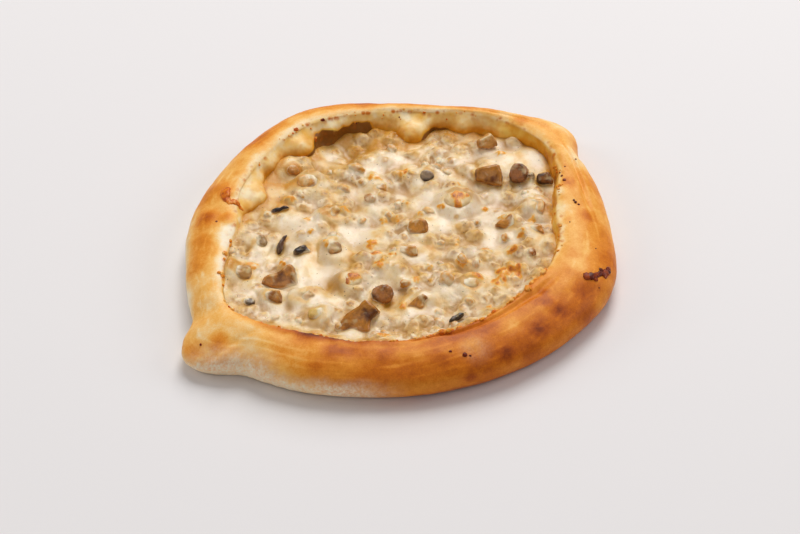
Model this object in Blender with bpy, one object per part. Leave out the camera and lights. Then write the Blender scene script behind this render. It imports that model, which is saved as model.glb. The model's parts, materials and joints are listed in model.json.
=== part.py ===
"""Open, boat-shaped khachapuri: a raised bread crust filled with melted cheese,
diced chicken and mushroom pieces. Lengths are in millimetres and angles in degrees
until make_object turns a finished mesh into metres.

+X runs along the bread to its small corner, the pinched knob is at -X, and +Z is up.
The origin is under the middle of the bread, on the surface that it rests on.
"""
import math
import random

import bmesh
import bpy
from mathutils import Matrix, Vector, noise

METRES_PER_MM = 0.001
PIECE_GAP = 0.35            # clearance round a piece in its socket
WALL_GAP = 0.9              # clearance between the filling and the crust

# Crust: the rim is lofted round the bread, slice by slice
RIM_SLICES = 96
BASE_TUCK = 9.0             # how far the base edge is tucked in under the widest part
WIDEST_HEIGHT = 12.0
DOUGH_FLOOR = 8.0           # dough under the filling
WALL_FOOT_HEIGHT = 15.0     # where the inner wall meets the filling
UNEVEN_HEIGHT = 0.9         # slow hand-shaped waviness of the rim

# angle, outer reach, rim height, reach of the inner lip, reach of the wall's foot
RIM_STATIONS = [
    (0, 137, 31, 118, 116),
    (15, 136, 31, 117, 115),
    (28, 128, 32, 111, 106),
    (40, 122, 32, 105, 99),
    (52, 123, 32, 104, 97),
    (65, 128, 32, 104, 97),
    (80, 131, 32, 105, 98),
    (95, 129, 31, 103, 98),
    (110, 126, 30, 100, 96),
    (125, 126, 29, 98, 92),
    (140, 127, 27, 95, 92),
    (153, 128, 26, 101, 98),
    (165, 133, 26, 110, 106),
    (178, 139, 25, 119, 115),
    (190, 141, 25, 115, 112),
    (203, 137, 25, 107, 104),
    (222, 130, 25, 103, 100),
    (245, 127, 25, 98, 95),
    (265, 128, 25, 96, 93),
    (285, 131, 26, 95, 92),
    (300, 135, 27, 97, 94),
    (315, 133, 28, 98, 95),
    (328, 131, 29, 97, 94),
    (340, 133, 30, 104, 101),
    (350, 136, 31, 113, 110),
]

# The two pinched ends: angle, half width, extra reach, how far the end drops
KNOB_END = (181.5, 7.5, 17.0, 0.30)
SMALL_END = (5.5, 8.0, 17.5, 0.20)

# Blown lobes of dough that hang in over the filling: angle, half width, reach, height
LOBES = [
    (14, 6, 3.0, 25),
    (27, 5, 3.0, 23),
    (45, 6, 12.0, 21),
    (74, 3, 4.0, 24),
    (88, 6, 9.0, 21),
    (103, 5, 2.5, 23),
    (121, 9, 9.0, 21),
]
LOBE_HEIGHT = 8.0           # half height of a lobe

# Filling: cheese with its lumps, heaped against the wall at the small end
FILLING_RINGS = 13
FILLING_EDGE = 18.0
FILLING_LEVEL = 19.0
HEAP_CENTRE = (92.0, -2.0)
HEAP_RADIUS = 34.0
HEAP_HEIGHT = 4.5
HOLLOW_CENTRE = (30.0, 84.0)
HOLLOW_RADIUS = 18.0
HOLLOW_DEPTH = 3.0
LUMP_SPACING = 17.0
LUMP_HEIGHT = 2.0
BIT_COUNT = 28              # diced chicken under the cheese, fused to the filling
BIT_SIZE = (5.0, 9.0)
BIT_SEED = 11

# Outlines of the cut pieces, in a square one unit wide
OUTLINES = {
    "slice": [(-0.5, -0.3), (-0.36, 0.05), (-0.05, 0.12), (0.2, 0.5), (0.34, 0.4),
              (0.5, -0.4), (0.0, -0.5)],
    "block": [(-0.5, 0.3), (0.3, 0.5), (0.42, 0.2), (0.5, -0.5), (0.1, -0.42), (-0.5, -0.25)],
    "wedge": [(-0.5, -0.25), (0.08, 0.35), (0.2, 0.5), (0.5, 0.12), (0.3, -0.05),
              (0.26, -0.45), (0.1, -0.5), (-0.2, -0.36), (-0.45, -0.45)],
    "round": [(0.5, 0.05), (0.34, 0.4), (-0.02, 0.5), (-0.38, 0.34), (-0.5, -0.06),
              (-0.3, -0.42), (0.08, -0.5), (0.4, -0.3)],
    "crescent": [(-0.5, -0.5), (-0.2, 0.15), (0.25, 0.5), (0.5, 0.35), (0.12, -0.05),
                 (-0.25, -0.45)],
}

# name, outline, place (x, y, middle height), length, width, thickness, yaw, lean
# Yaw turns the piece in plan; lean stands its flat side up from lying.
PIECES = [
    ("mushroom_slice_large", "slice", (-80, 9, 21.0), 25, 17, 8, -38, 42),
    ("mushroom_slice_tan", "block", (-94, 27, 20.0), 14, 11, 6, -50, 25),
    ("mushroom_wedge_large", "wedge", (-66, -47, 21.5), 29, 23, 7, -38, 35),
    ("mushroom_cap_piece", "round", (-43, -41, 21.5), 15, 12, 8, -20, 35),
    ("mushroom_block_heaped", "block", (74, 0, 25.5), 18, 15, 7, -42, 45),
    ("mushroom_stem_heaped", "round", (89, -10, 26.0), 13, 14, 8, -60, 40),
    ("mushroom_dark_heaped", "block", (100, -22, 23.5), 10, 9, 6, -30, 30),
    ("mushroom_slice_upright", "block", (95, 27, 25.0), 13, 10, 4.5, -10, 55),
    ("mushroom_chunk_centre", "round", (11, -7, 21.0), 15, 12, 7, -38, 30),
    ("mushroom_chunk_right", "slice", (56, -36, 21.5), 14, 10, 6, -38, 35),
    ("mushroom_bit_grey", "round", (47, 28, 20.5), 10, 9, 6, -60, 35),
    ("mushroom_bit_middle", "block", (-6, -20, 20.5), 12, 8, 5, -38, 25),
    ("mushroom_strip_black", "crescent", (-43, 60, 19.5), 14, 7, 4, -45, 35),
    ("mushroom_crescent", "crescent", (-61, 33, 20.0), 14, 8, 4, 10, 30),
    ("mushroom_rounded_bit", "round", (-70, 42, 20.0), 9, 9, 6, -38, 20),
    ("mushroom_bit_black", "block", (-55, 21, 20.0), 10, 6, 5, -20, 25),
    ("mushroom_piece_left", "block", (-93, -3, 20.5), 11, 10, 7, -38, 30),
    ("mushroom_bit_rim", "round", (-106, 3, 19.5), 8, 6, 5, -38, 10),
    ("mushroom_piece_back", "round", (-14, 85, 20.0), 9, 8, 6, -38, 30),
    ("mushroom_piece_front", "wedge", (-30, -58, 20.5), 15, 11, 6, -38, 30),
    ("mushroom_flake_front", "crescent", (-21, -82, 20.0), 11, 6, 3.5, -30, 15),
    ("mushroom_bits_right", "block", (66, -53, 21.0), 10, 7, 5, -38, 25),
    ("chicken_piece_left", "wedge", (-79, -14, 20.5), 15, 12, 7, -55, 25),
    ("chicken_cube_yellow", "block", (-83, -31, 20.5), 12, 10, 8, -38, 20),
    ("chicken_piece_back", "round", (-15, 69, 20.5), 15, 13, 9, -38, 20),
    ("chicken_piece_upper", "wedge", (-21, 37, 20.5), 14, 10, 7, -38, 20),
    ("chicken_piece_brown", "round", (-40, 9, 20.5), 10, 11, 8, -38, 25),
    ("chicken_bit_upper", "block", (18, 37, 20.0), 8, 7, 6, -38, 20),
    ("cheese_lump_toasted", "round", (-50, -21, 20.5), 14, 11, 8, -38, 15),
    ("cheese_lump_heaped", "round", (45, -4, 21.5), 19, 15, 9, -38, 10),
    ("chicken_piece_wall", "block", (79, -38, 22.0), 12, 11, 7, -60, 20),
    ("chicken_piece_front", "round", (3, -66, 20.5), 12, 9, 7, -38, 15),
]

MATERIALS = {
    "crust": ("golden baked dough", (0.68, 0.40, 0.14), 0.55),
    "filling": ("melted cheese", (0.80, 0.68, 0.46), 0.35),
    "mushroom": ("cooked mushroom", (0.28, 0.17, 0.07), 0.35),
    "chicken": ("cooked chicken", (0.62, 0.42, 0.20), 0.45),
    "cheese": ("toasted cheese", (0.78, 0.55, 0.24), 0.35),
}


def smooth_bump(offset):
    """Bell that is 1 at zero and falls to 0 at plus and minus 1."""
    return (1.0 - offset * offset) ** 2 if abs(offset) < 1.0 else 0.0


def angle_between(angle, other):
    """Signed difference of two angles, from -180 to 180."""
    return (angle - other + 180.0) % 360.0 - 180.0


def rim_value(angle, column):
    """A column of the stations, read smoothly round the closed loop."""
    count = len(RIM_STATIONS)
    following = next((i for i, row in enumerate(RIM_STATIONS) if row[0] > angle), 0)
    rows = [RIM_STATIONS[(following + step) % count] for step in (-2, -1, 0, 1)]
    places = [angle_between(row[0], angle) for row in rows]
    before, start, end, after = [row[column] for row in rows]
    span = places[2] - places[1]
    t = -places[1] / span
    start_slope = (end - before) / (places[2] - places[0]) * span
    end_slope = (after - start) / (places[3] - places[1]) * span
    t2 = t * t
    t3 = t2 * t
    return ((2 * t3 - 3 * t2 + 1) * start + (t3 - 2 * t2 + t) * start_slope
            + (3 * t2 - 2 * t3) * end + (t3 - t2) * end_slope)


def end_share(angle, end):
    """How much of a pinched end shows at an angle, from 0 to 1."""
    return smooth_bump(angle_between(angle, end[0]) / (1.6 * end[1]))


def waviness(angle):
    """Slow unevenness of hand-shaped dough, from about -1 to 1."""
    turn = math.radians(angle)
    return noise.noise(Vector((2.2 * math.cos(turn), 2.2 * math.sin(turn), 3.0)))


def lobe_reach(angle, height):
    """How far a blown lobe pushes the inner wall towards the middle."""
    reach = 0.0
    for middle, half_width, depth, level in LOBES:
        across = smooth_bump(angle_between(angle, middle) / (1.5 * half_width))
        upward = smooth_bump((height - level) / (1.4 * LOBE_HEIGHT))
        reach += depth * across * upward
    return reach


def rim_profile(angle):
    """Section of the crust at an angle, as (reach, height), from base edge to floor."""
    outer = rim_value(angle, 1)
    top = rim_value(angle, 2) + UNEVEN_HEIGHT * waviness(angle)
    lip = rim_value(angle, 3)
    foot = rim_value(angle, 4)
    drop = 0.0
    for end in (KNOB_END, SMALL_END):
        share = end_share(angle, end)
        outer += end[2] * share
        drop = max(drop, end[3] * share)
    wall = outer - lip
    shoulder = top - 5.0
    low = 1.0 - drop
    points = [
        (outer - BASE_TUCK, 0.0),
        (outer - 4.2, 1.4),
        (outer - 1.0, 5.5),
        (outer, WIDEST_HEIGHT * low),
        (outer - 1.6, (WIDEST_HEIGHT + 5.5) * low),
        (outer - 5.5, shoulder * low),
        (outer - 0.36 * wall, (top - 2.0) * (1.0 - 0.7 * drop)),
        (outer - 0.58 * wall, (top - 0.4) * (1.0 - 0.3 * drop)),
        (outer - 0.80 * wall, top),
        (lip + 1.6, top - 1.1),
        (lip, top - 3.0),
    ]
    for share in (0.35, 0.7, 1.0):
        height = top - 3.0 + (WALL_FOOT_HEIGHT - top + 3.0) * share
        reach = lip + (foot - lip) * share ** 0.8 - lobe_reach(angle, height)
        points.append((reach, height))
    points.append((foot, DOUGH_FLOOR))
    return points


def wall_reach(angle, height):
    """Reach of the crust's inner wall at a height."""
    wall = rim_profile(angle)[-5:]
    for (reach_a, height_a), (reach_b, height_b) in zip(wall, wall[1:]):
        if height_b <= height <= height_a:
            t = (height_a - height) / (height_a - height_b)
            return reach_a + (reach_b - reach_a) * t
    return wall[0][0]


def clear_reach(angle, height):
    """Reach that stays clear of the wall from a height upwards, under a lobe too."""
    return min(wall_reach(angle, height + rise) for rise in (0.0, 1.5, 3.0, 4.5)) - WALL_GAP


def place(angle, reach, height):
    """A point in the bread's frame."""
    turn = math.radians(angle)
    return Vector((reach * math.cos(turn), reach * math.sin(turn), height))


def slice_angles():
    """The angles of the slices round the bread."""
    return [360.0 * i / RIM_SLICES for i in range(RIM_SLICES)]


def join_rings(mesh, lower, upper):
    """Quads between two closed rings of vertices."""
    count = len(lower)
    for i in range(count):
        j = (i + 1) % count
        mesh.faces.new((lower[i], lower[j], upper[j], upper[i]))


def close_ring(mesh, ring, centre):
    """Triangles from a ring to a centre point."""
    tip = mesh.verts.new(centre)
    count = len(ring)
    for i in range(count):
        mesh.faces.new((ring[i], ring[(i + 1) % count], tip))


def make_material(key):
    """Principled material with the piece's colour and roughness."""
    name, colour, roughness = MATERIALS[key]
    material = bpy.data.materials.get(name)
    if material is None:
        material = bpy.data.materials.new(name)
        material.use_nodes = True
        shader = material.node_tree.nodes["Principled BSDF"]
        shader.inputs["Base Color"].default_value = (*colour, 1.0)
        shader.inputs["Roughness"].default_value = roughness
        shader.inputs["Metallic"].default_value = 0.0
    return material


def make_object(name, mesh, collection, material_key):
    """Object in metres from a bmesh in millimetres, with its faces pointing out."""
    bmesh.ops.recalc_face_normals(mesh, faces=mesh.faces[:])
    bmesh.ops.scale(mesh, vec=Vector((METRES_PER_MM,) * 3), verts=mesh.verts[:])
    data = bpy.data.meshes.new(name)
    mesh.to_mesh(data)
    mesh.free()
    item = bpy.data.objects.new(name, data)
    collection.objects.link(item)
    data.materials.append(make_material(material_key))
    data.shade_smooth()
    data.set_sharp_from_angle(angle=math.radians(50))
    return item


def make_crust(collection):
    """Rim and floor of dough in one piece, lofted through the sections."""
    mesh = bmesh.new()
    angles = slice_angles()
    sections = [rim_profile(angle) for angle in angles]
    rings = []
    for row in range(len(sections[0])):
        ring = [mesh.verts.new(place(angle, *section[row]))
                for angle, section in zip(angles, sections)]
        rings.append(ring)
    for lower, upper in zip(rings, rings[1:]):
        join_rings(mesh, lower, upper)
    close_ring(mesh, rings[0], (0.0, 0.0, 0.0))
    close_ring(mesh, rings[-1], (0.0, 0.0, DOUGH_FLOOR))
    return make_object("crust", mesh, collection, "crust")


def filling_height(x, y):
    """Height of the cheese, with its slow lumps, the heap and the hollow."""
    level = FILLING_LEVEL
    level += LUMP_HEIGHT * noise.noise(Vector((x / LUMP_SPACING, y / LUMP_SPACING, 5.0)))
    heap = math.hypot(x - HEAP_CENTRE[0], y - HEAP_CENTRE[1]) / HEAP_RADIUS
    hollow = math.hypot(x - HOLLOW_CENTRE[0], y - HOLLOW_CENTRE[1]) / HOLLOW_RADIUS
    return level + HEAP_HEIGHT * smooth_bump(heap) - HOLLOW_DEPTH * smooth_bump(hollow)


def make_filling(collection):
    """Cheese filling out to the wall, its top shaped by filling_height."""
    mesh = bmesh.new()
    angles = slice_angles()
    floor = DOUGH_FLOOR + WALL_GAP
    side_heights = (floor, WALL_FOOT_HEIGHT, FILLING_EDGE)
    rings = []
    for height in side_heights:
        ring = [mesh.verts.new(place(angle, clear_reach(angle, height), height))
                for angle in angles]
        rings.append(ring)
    for step in range(FILLING_RINGS - 1, 0, -1):
        share = step / FILLING_RINGS
        ring = []
        for angle in angles:
            point = place(angle, clear_reach(angle, FILLING_EDGE) * share, 0.0)
            point.z = filling_height(point.x, point.y)
            ring.append(mesh.verts.new(point))
        rings.append(ring)
    for lower, upper in zip(rings, rings[1:]):
        join_rings(mesh, lower, upper)
    close_ring(mesh, rings[0], (0.0, 0.0, floor))
    close_ring(mesh, rings[-1], (0.0, 0.0, filling_height(0.0, 0.0)))
    return make_object("filling", mesh, collection, "filling")


def lump_mesh(centre, size, seed):
    """Irregular lump: the hull of points scattered on a ball."""
    draw = random.Random(seed)
    mesh = bmesh.new()
    bmesh.ops.create_icosphere(mesh, subdivisions=1, radius=0.5 * size)
    for vertex in mesh.verts:
        vertex.co *= draw.uniform(0.82, 1.12)
        vertex.co.z *= 0.75
    turn = Matrix.Rotation(draw.uniform(0.0, math.tau), 4, "Z")
    bmesh.ops.transform(mesh, matrix=turn, verts=mesh.verts[:])
    bmesh.ops.translate(mesh, vec=Vector(centre), verts=mesh.verts[:])
    return mesh


def piece_mesh(piece):
    """A cut piece: its outline made thick, chamfered, leaned over and set in place."""
    outline, centre, length, width, thickness, yaw, lean = piece[1:]
    mesh = bmesh.new()
    corners = [mesh.verts.new((x * length, y * width, -0.5 * thickness))
               for x, y in OUTLINES[outline]]
    face = mesh.faces.new(corners)
    grown = bmesh.ops.extrude_face_region(mesh, geom=[face])
    raised = [item for item in grown["geom"] if isinstance(item, bmesh.types.BMVert)]
    bmesh.ops.translate(mesh, vec=Vector((0.0, 0.0, thickness)), verts=raised)
    bmesh.ops.scale(mesh, vec=Vector((0.9, 0.9, 1.0)), verts=raised)
    bmesh.ops.recalc_face_normals(mesh, faces=mesh.faces[:])
    bmesh.ops.bevel(mesh, geom=mesh.edges[:], offset=0.16 * thickness, segments=1,
                    affect="EDGES", clamp_overlap=True)
    matrix = (Matrix.Translation(Vector(centre))
              @ Matrix.Rotation(math.radians(yaw), 4, "Z")
              @ Matrix.Rotation(math.radians(lean), 4, "X"))
    bmesh.ops.transform(mesh, matrix=matrix, verts=mesh.verts[:])
    bmesh.ops.triangulate(mesh, faces=[face for face in mesh.faces if len(face.verts) > 4])
    return mesh


def swollen(mesh, distance):
    """The same closed mesh with every face moved outwards."""
    mesh.normal_update()
    moves = []
    for vertex in mesh.verts:
        slant = min(vertex.normal.dot(face.normal) for face in vertex.link_faces)
        moves.append(vertex.normal * (distance / max(slant, 0.5)))
    for vertex, move in zip(mesh.verts, moves):
        vertex.co += move
    return mesh


def bit_places():
    """Seeded places for the fused chicken bits, clear of the cut pieces and the wall."""
    draw = random.Random(BIT_SEED)
    taken = [(piece[2][0], piece[2][1], 0.55 * max(piece[3], piece[4])) for piece in PIECES]
    places = []
    while len(places) < BIT_COUNT:
        angle = draw.uniform(0.0, 360.0)
        size = draw.uniform(*BIT_SIZE)
        limit = clear_reach(angle, FILLING_EDGE) - 0.6 * size - 1.5
        spot = place(angle, limit * math.sqrt(draw.random()), 0.0)
        room = all(math.hypot(spot.x - x, spot.y - y) > radius + 0.65 * size
                   for x, y, radius in taken)
        if room:
            taken.append((spot.x, spot.y, 0.5 * size))
            height = filling_height(spot.x, spot.y) - 0.05 * size
            places.append(((spot.x, spot.y, height), size))
    return places


def apply_boolean(target, collection, operation):
    """Boolean with every object of a collection, applied to the target's mesh."""
    modifier = target.modifiers.new(operation.lower(), "BOOLEAN")
    modifier.operation = operation
    modifier.operand_type = "COLLECTION"
    modifier.collection = collection
    modifier.solver = "EXACT"
    bpy.context.view_layer.update()
    graph = bpy.context.evaluated_depsgraph_get()
    result = bpy.data.meshes.new_from_object(target.evaluated_get(graph))
    target.modifiers.remove(modifier)
    old = target.data
    target.data = result
    bpy.data.meshes.remove(old)
    result.name = target.name


def clear_collection(collection):
    """Remove a collection of cutters or fused shapes once they are used."""
    for item in list(collection.objects):
        bpy.data.objects.remove(item, do_unlink=True)
    bpy.data.collections.remove(collection)


def new_collection(name):
    """Collection under the scene."""
    collection = bpy.data.collections.new(name)
    bpy.context.scene.collection.children.link(collection)
    return collection


def fuse_bits(filling):
    """Join the diced chicken bits to the filling."""
    shapes = new_collection("fused bits")
    for number, (centre, size) in enumerate(bit_places()):
        mesh = lump_mesh(centre, size, BIT_SEED + number)
        make_object(f"bit_{number:02d}", mesh, shapes, "filling")
    apply_boolean(filling, shapes, "UNION")
    clear_collection(shapes)


def cut_sockets(filling):
    """Cut a close-fitting socket for each piece that sits in the cheese."""
    cutters = new_collection("cutters")
    for piece in PIECES:
        mesh = swollen(piece_mesh(piece), PIECE_GAP)
        cutter = make_object(f"socket_{piece[0]}", mesh, cutters, "filling")
        cutter.hide_render = True
        cutter.display_type = "WIRE"
    apply_boolean(filling, cutters, "DIFFERENCE")
    clear_collection(cutters)


def centre_on_origin(items):
    """Shift the finished bread so that the middle of its box is over the origin."""
    crust = items[0].data
    low = Vector([min(vertex.co[axis] for vertex in crust.vertices) for axis in range(3)])
    high = Vector([max(vertex.co[axis] for vertex in crust.vertices) for axis in range(3)])
    shift = Vector((-(low.x + high.x) / 2.0, -(low.y + high.y) / 2.0, 0.0))
    for item in items:
        item.data.transform(Matrix.Translation(shift))


def main():
    for item in list(bpy.data.objects):
        bpy.data.objects.remove(item, do_unlink=True)
    bread = new_collection("open_khachapuri")
    items = [make_crust(bread), make_filling(bread)]
    fuse_bits(items[1])
    cut_sockets(items[1])
    for piece in PIECES:
        key = piece[0].split("_")[0]
        items.append(make_object(piece[0], piece_mesh(piece), bread, key))
    centre_on_origin(items)


main()
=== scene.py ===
import json
import math
import random

import bmesh
import bpy
import numpy as np
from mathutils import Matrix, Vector, noise
from mathutils.kdtree import KDTree

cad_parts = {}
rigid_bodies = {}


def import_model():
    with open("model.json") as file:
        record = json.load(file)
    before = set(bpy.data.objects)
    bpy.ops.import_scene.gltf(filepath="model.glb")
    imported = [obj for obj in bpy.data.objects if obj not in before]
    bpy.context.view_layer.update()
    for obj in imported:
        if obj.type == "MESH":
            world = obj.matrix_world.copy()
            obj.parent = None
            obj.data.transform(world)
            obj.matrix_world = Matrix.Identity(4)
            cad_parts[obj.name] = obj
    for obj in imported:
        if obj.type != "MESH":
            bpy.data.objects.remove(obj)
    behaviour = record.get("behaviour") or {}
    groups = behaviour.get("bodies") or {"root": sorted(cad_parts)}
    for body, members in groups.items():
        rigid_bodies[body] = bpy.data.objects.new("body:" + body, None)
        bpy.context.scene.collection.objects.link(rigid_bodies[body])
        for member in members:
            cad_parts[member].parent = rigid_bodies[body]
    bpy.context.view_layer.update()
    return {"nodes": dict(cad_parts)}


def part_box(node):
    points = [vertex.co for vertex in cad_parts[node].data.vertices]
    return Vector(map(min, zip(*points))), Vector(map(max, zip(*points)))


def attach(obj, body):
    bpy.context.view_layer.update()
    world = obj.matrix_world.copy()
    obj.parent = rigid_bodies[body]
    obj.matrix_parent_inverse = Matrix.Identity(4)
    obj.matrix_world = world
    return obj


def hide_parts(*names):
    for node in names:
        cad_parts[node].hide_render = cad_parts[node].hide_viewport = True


# Baked open khachapuri: golden dough, melted cheese, chicken and mushroom.
# Lengths below are millimetres in the bread's own frame, angles are degrees.

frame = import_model()
for leftover in list(bpy.data.objects):
    if leftover.name in ("Cube", "Light", "Camera"):
        bpy.data.objects.remove(leftover)

mm = 0.001
noiseMix = np.array([73856093, 19349663, 83492791])     # primes that scatter the cells of the noise
noiseSlopes = np.random.default_rng(5).normal(size=(1024, 3))
noiseSlopes /= np.linalg.norm(noiseSlopes, axis=1, keepdims=True)


# Small tools

def linearColour(hexText):
    channels = [int(hexText[i:i + 2], 16) / 255.0 for i in (1, 3, 5)]
    linear = [c / 12.92 if c <= 0.04045 else ((c + 0.055) / 1.055) ** 2.4 for c in channels]
    return (*linear, 1.0)


def addNode(tree, kind, settings=None, values=None, links=None, stops=None):
    node = tree.nodes.new(kind)
    for name, value in (settings or {}).items():
        setattr(node, name, value)
    for name, value in (values or {}).items():
        if isinstance(value, str) and value.startswith("#"):
            value = linearColour(value)
        node.inputs[name].default_value = value
    for name, source in (links or {}).items():
        tree.links.new(source, node.inputs[name])
    if stops:                                   # colour ramp: (place, hex)
        ramp = node.color_ramp
        while len(ramp.elements) < len(stops):
            ramp.elements.new(0.5)
        for element, (place, colour) in zip(ramp.elements, stops):
            element.position = place
            element.color = linearColour(colour)
    return node


def newMaterial(name):
    material = bpy.data.materials.new(name)
    material.use_nodes = True
    tree = material.node_tree
    tree.nodes.clear()
    return material, tree


def smoothStep(values, low, high):
    t = np.clip((values - low) / (high - low), 0.0, 1.0)
    return t * t * (3.0 - 2.0 * t)


def bump(offset):
    inside = np.clip(1.0 - offset * offset, 0.0, 1.0)
    return inside * inside


def noiseAt(points, size, seed):            # smooth gradient noise, about -0.8 to 0.8
    spots = np.asarray(points, float) / size + 37.3 * seed + 5.1
    cell = np.floor(spots).astype(np.int64)
    offset = spots - cell
    ease = offset ** 3 * (offset * (offset * 6.0 - 15.0) + 10.0)
    total = np.zeros(spots.shape[:-1])
    for corner in range(8):
        step = np.array([corner & 1, corner >> 1 & 1, corner >> 2 & 1])
        key = ((cell + step) * noiseMix).sum(-1)
        slope = noiseSlopes[(key ^ (key >> 13)) & 1023]
        weight = np.where(step, ease, 1.0 - ease).prod(-1)
        total += weight * ((offset - step) * slope).sum(-1)
    return 1.25 * total


def turnGap(angles, middle):
    return (angles - middle + 180.0) % 360.0 - 180.0


def window(angles, first, last, soft):      # 1 between two angles, soft at both ends
    half = 0.5 * ((last - first) % 360.0)
    return 1.0 - smoothStep(np.abs(turnGap(angles, first + half)), half - soft, half + soft)


def addLayer(data, key, values):             # a number for each vertex
    layer = data.attributes.new(key, "FLOAT", "POINT")
    layer.data.foreach_set("value", np.asarray(values, np.float32).ravel())


def meshObject(name, points, faces, material, attributes=None):
    data = bpy.data.meshes.new(name)
    data.vertices.add(len(points))
    data.vertices.foreach_set("co", (np.asarray(points, np.float64) * mm).ravel())
    faces = [np.asarray(block, np.int32) for block in faces]
    sizes = np.concatenate([np.full(len(block), block.shape[1], np.int32) for block in faces])
    corners = np.concatenate([block.ravel() for block in faces])
    starts = np.concatenate([[0], np.cumsum(sizes)[:-1]]).astype(np.int32)
    data.loops.add(len(corners))
    data.loops.foreach_set("vertex_index", corners)
    data.polygons.add(len(sizes))
    data.polygons.foreach_set("loop_start", starts)
    data.update(calc_edges=True)
    for key, values in (attributes or {}).items():
        addLayer(data, key, values)
    data.validate()
    data.shade_smooth()
    item = bpy.data.objects.new(name, data)
    bpy.context.scene.collection.objects.link(item)
    data.materials.append(material)
    return item


def ringFaces(rows, columns):               # quads of a closed tube of rings
    row = np.arange(rows - 1)[:, None] * columns
    here = np.arange(columns)[None, :]
    there = (here + 1) % columns
    quads = np.stack([row + here, row + there, row + columns + there, row + columns + here], -1)
    return quads.reshape(-1, 4)


def fanFaces(start, columns, centre, flip):
    here = start + np.arange(columns)
    there = start + (np.arange(columns) + 1) % columns
    tip = np.full(columns, centre)
    order = (there, here, tip) if flip else (here, there, tip)
    return np.stack(order, -1)


def finishPiece(item, slot, *nodes):
    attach(item, "root")
    if nodes:
        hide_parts(*nodes)


# Camera: the photograph's angle, from the fitted view of the bread

camera = {
    "place": (-0.5990, -0.7538, 0.8400),    # metres
    "heading": 51.3,                        # from +X towards +Y
    "tilt": 41.4,                           # below the horizon
    "lens": 94.5,                           # 36 mm wide sensor
}


def makeCamera():
    heading = math.radians(camera["heading"])
    tilt = math.radians(camera["tilt"])
    look = Vector((math.cos(heading) * math.cos(tilt), math.sin(heading) * math.cos(tilt),
                   -math.sin(tilt)))
    data = bpy.data.cameras.new("viewCamera")
    data.lens = camera["lens"]
    data.sensor_width = 36.0
    data.clip_start = 0.05
    data.clip_end = 20.0
    item = bpy.data.objects.new("viewCamera", data)
    item.location = camera["place"]
    item.rotation_mode = "QUATERNION"
    item.rotation_quaternion = look.to_track_quat("-Z", "Y")
    bpy.context.scene.collection.objects.link(item)
    bpy.context.scene.camera = item


# Crust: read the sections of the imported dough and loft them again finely

loft = {
    "centre": (1.25, -0.70),                # middle of the slices
    "slices": 96,
    "rows": 15,
    "tubeHeight": 14.0,                     # middle of a section, to sort its points
    "sliceSteps": 8,
    "rowSteps": 8,
    "softening": 110,                       # passes that even out the outer curve
    "lipRow": 10,
    "footRow": 13,                          # of the inner wall
}


def mergedCopy(node):
    mesh = bmesh.new()
    mesh.from_mesh(frame["nodes"][node].data)
    bmesh.ops.remove_doubles(mesh, verts=mesh.verts[:], dist=1e-6)
    return mesh


def readSections():
    mesh = mergedCopy("crust")
    step = 360.0 / loft["slices"]
    found = [[] for _ in range(loft["slices"])]
    for vertex in mesh.verts:
        x = vertex.co.x / mm - loft["centre"][0]
        y = vertex.co.y / mm - loft["centre"][1]
        angle = math.degrees(math.atan2(y, x)) % 360.0
        found[round(angle / step) % loft["slices"]].append((math.hypot(x, y), vertex.co.z / mm))
    mesh.free()
    sections = []
    for points in found:
        inner = min(r for r, z in points)
        middle = 0.5 * (inner + max(r for r, z in points))
        turns = []
        for r, z in points:
            turn = math.degrees(math.atan2(z - loft["tubeHeight"], r - middle))
            turns.append((turn if turn > -110.0 else turn + 360.0, r, z))
        sections.append([(r, z) for turn, r, z in sorted(turns)])
    for i, section in enumerate(sections):  # a base point on a straight edge may be merged away
        if len(section) < loft["rows"]:
            before = sections[i - 1][0]
            after = sections[(i + 1) % loft["slices"]][0]
            section.insert(0, (0.5 * (before[0] + after[0]), 0.0))
    return np.array(sections)


def refine(values, steps, closed):          # Catmull-Rom along the first axis
    count = len(values)
    total = count * steps if closed else (count - 1) * steps + 1
    place = np.arange(total) / steps
    base = np.minimum(np.floor(place).astype(int), count - 1 if closed else count - 2)
    t = (place - base).reshape((-1,) + (1,) * (values.ndim - 1))
    picks = [base - 1, base, base + 1, base + 2]
    picks = [p % count if closed else np.clip(p, 0, count - 1) for p in picks]
    a, b, c, d = [values[p] for p in picks]
    return 0.5 * (2 * b + (c - a) * t + (2 * a - 5 * b + 4 * c - d) * t ** 2
                  + (3 * b - a - 3 * c + d) * t ** 3)


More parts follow.
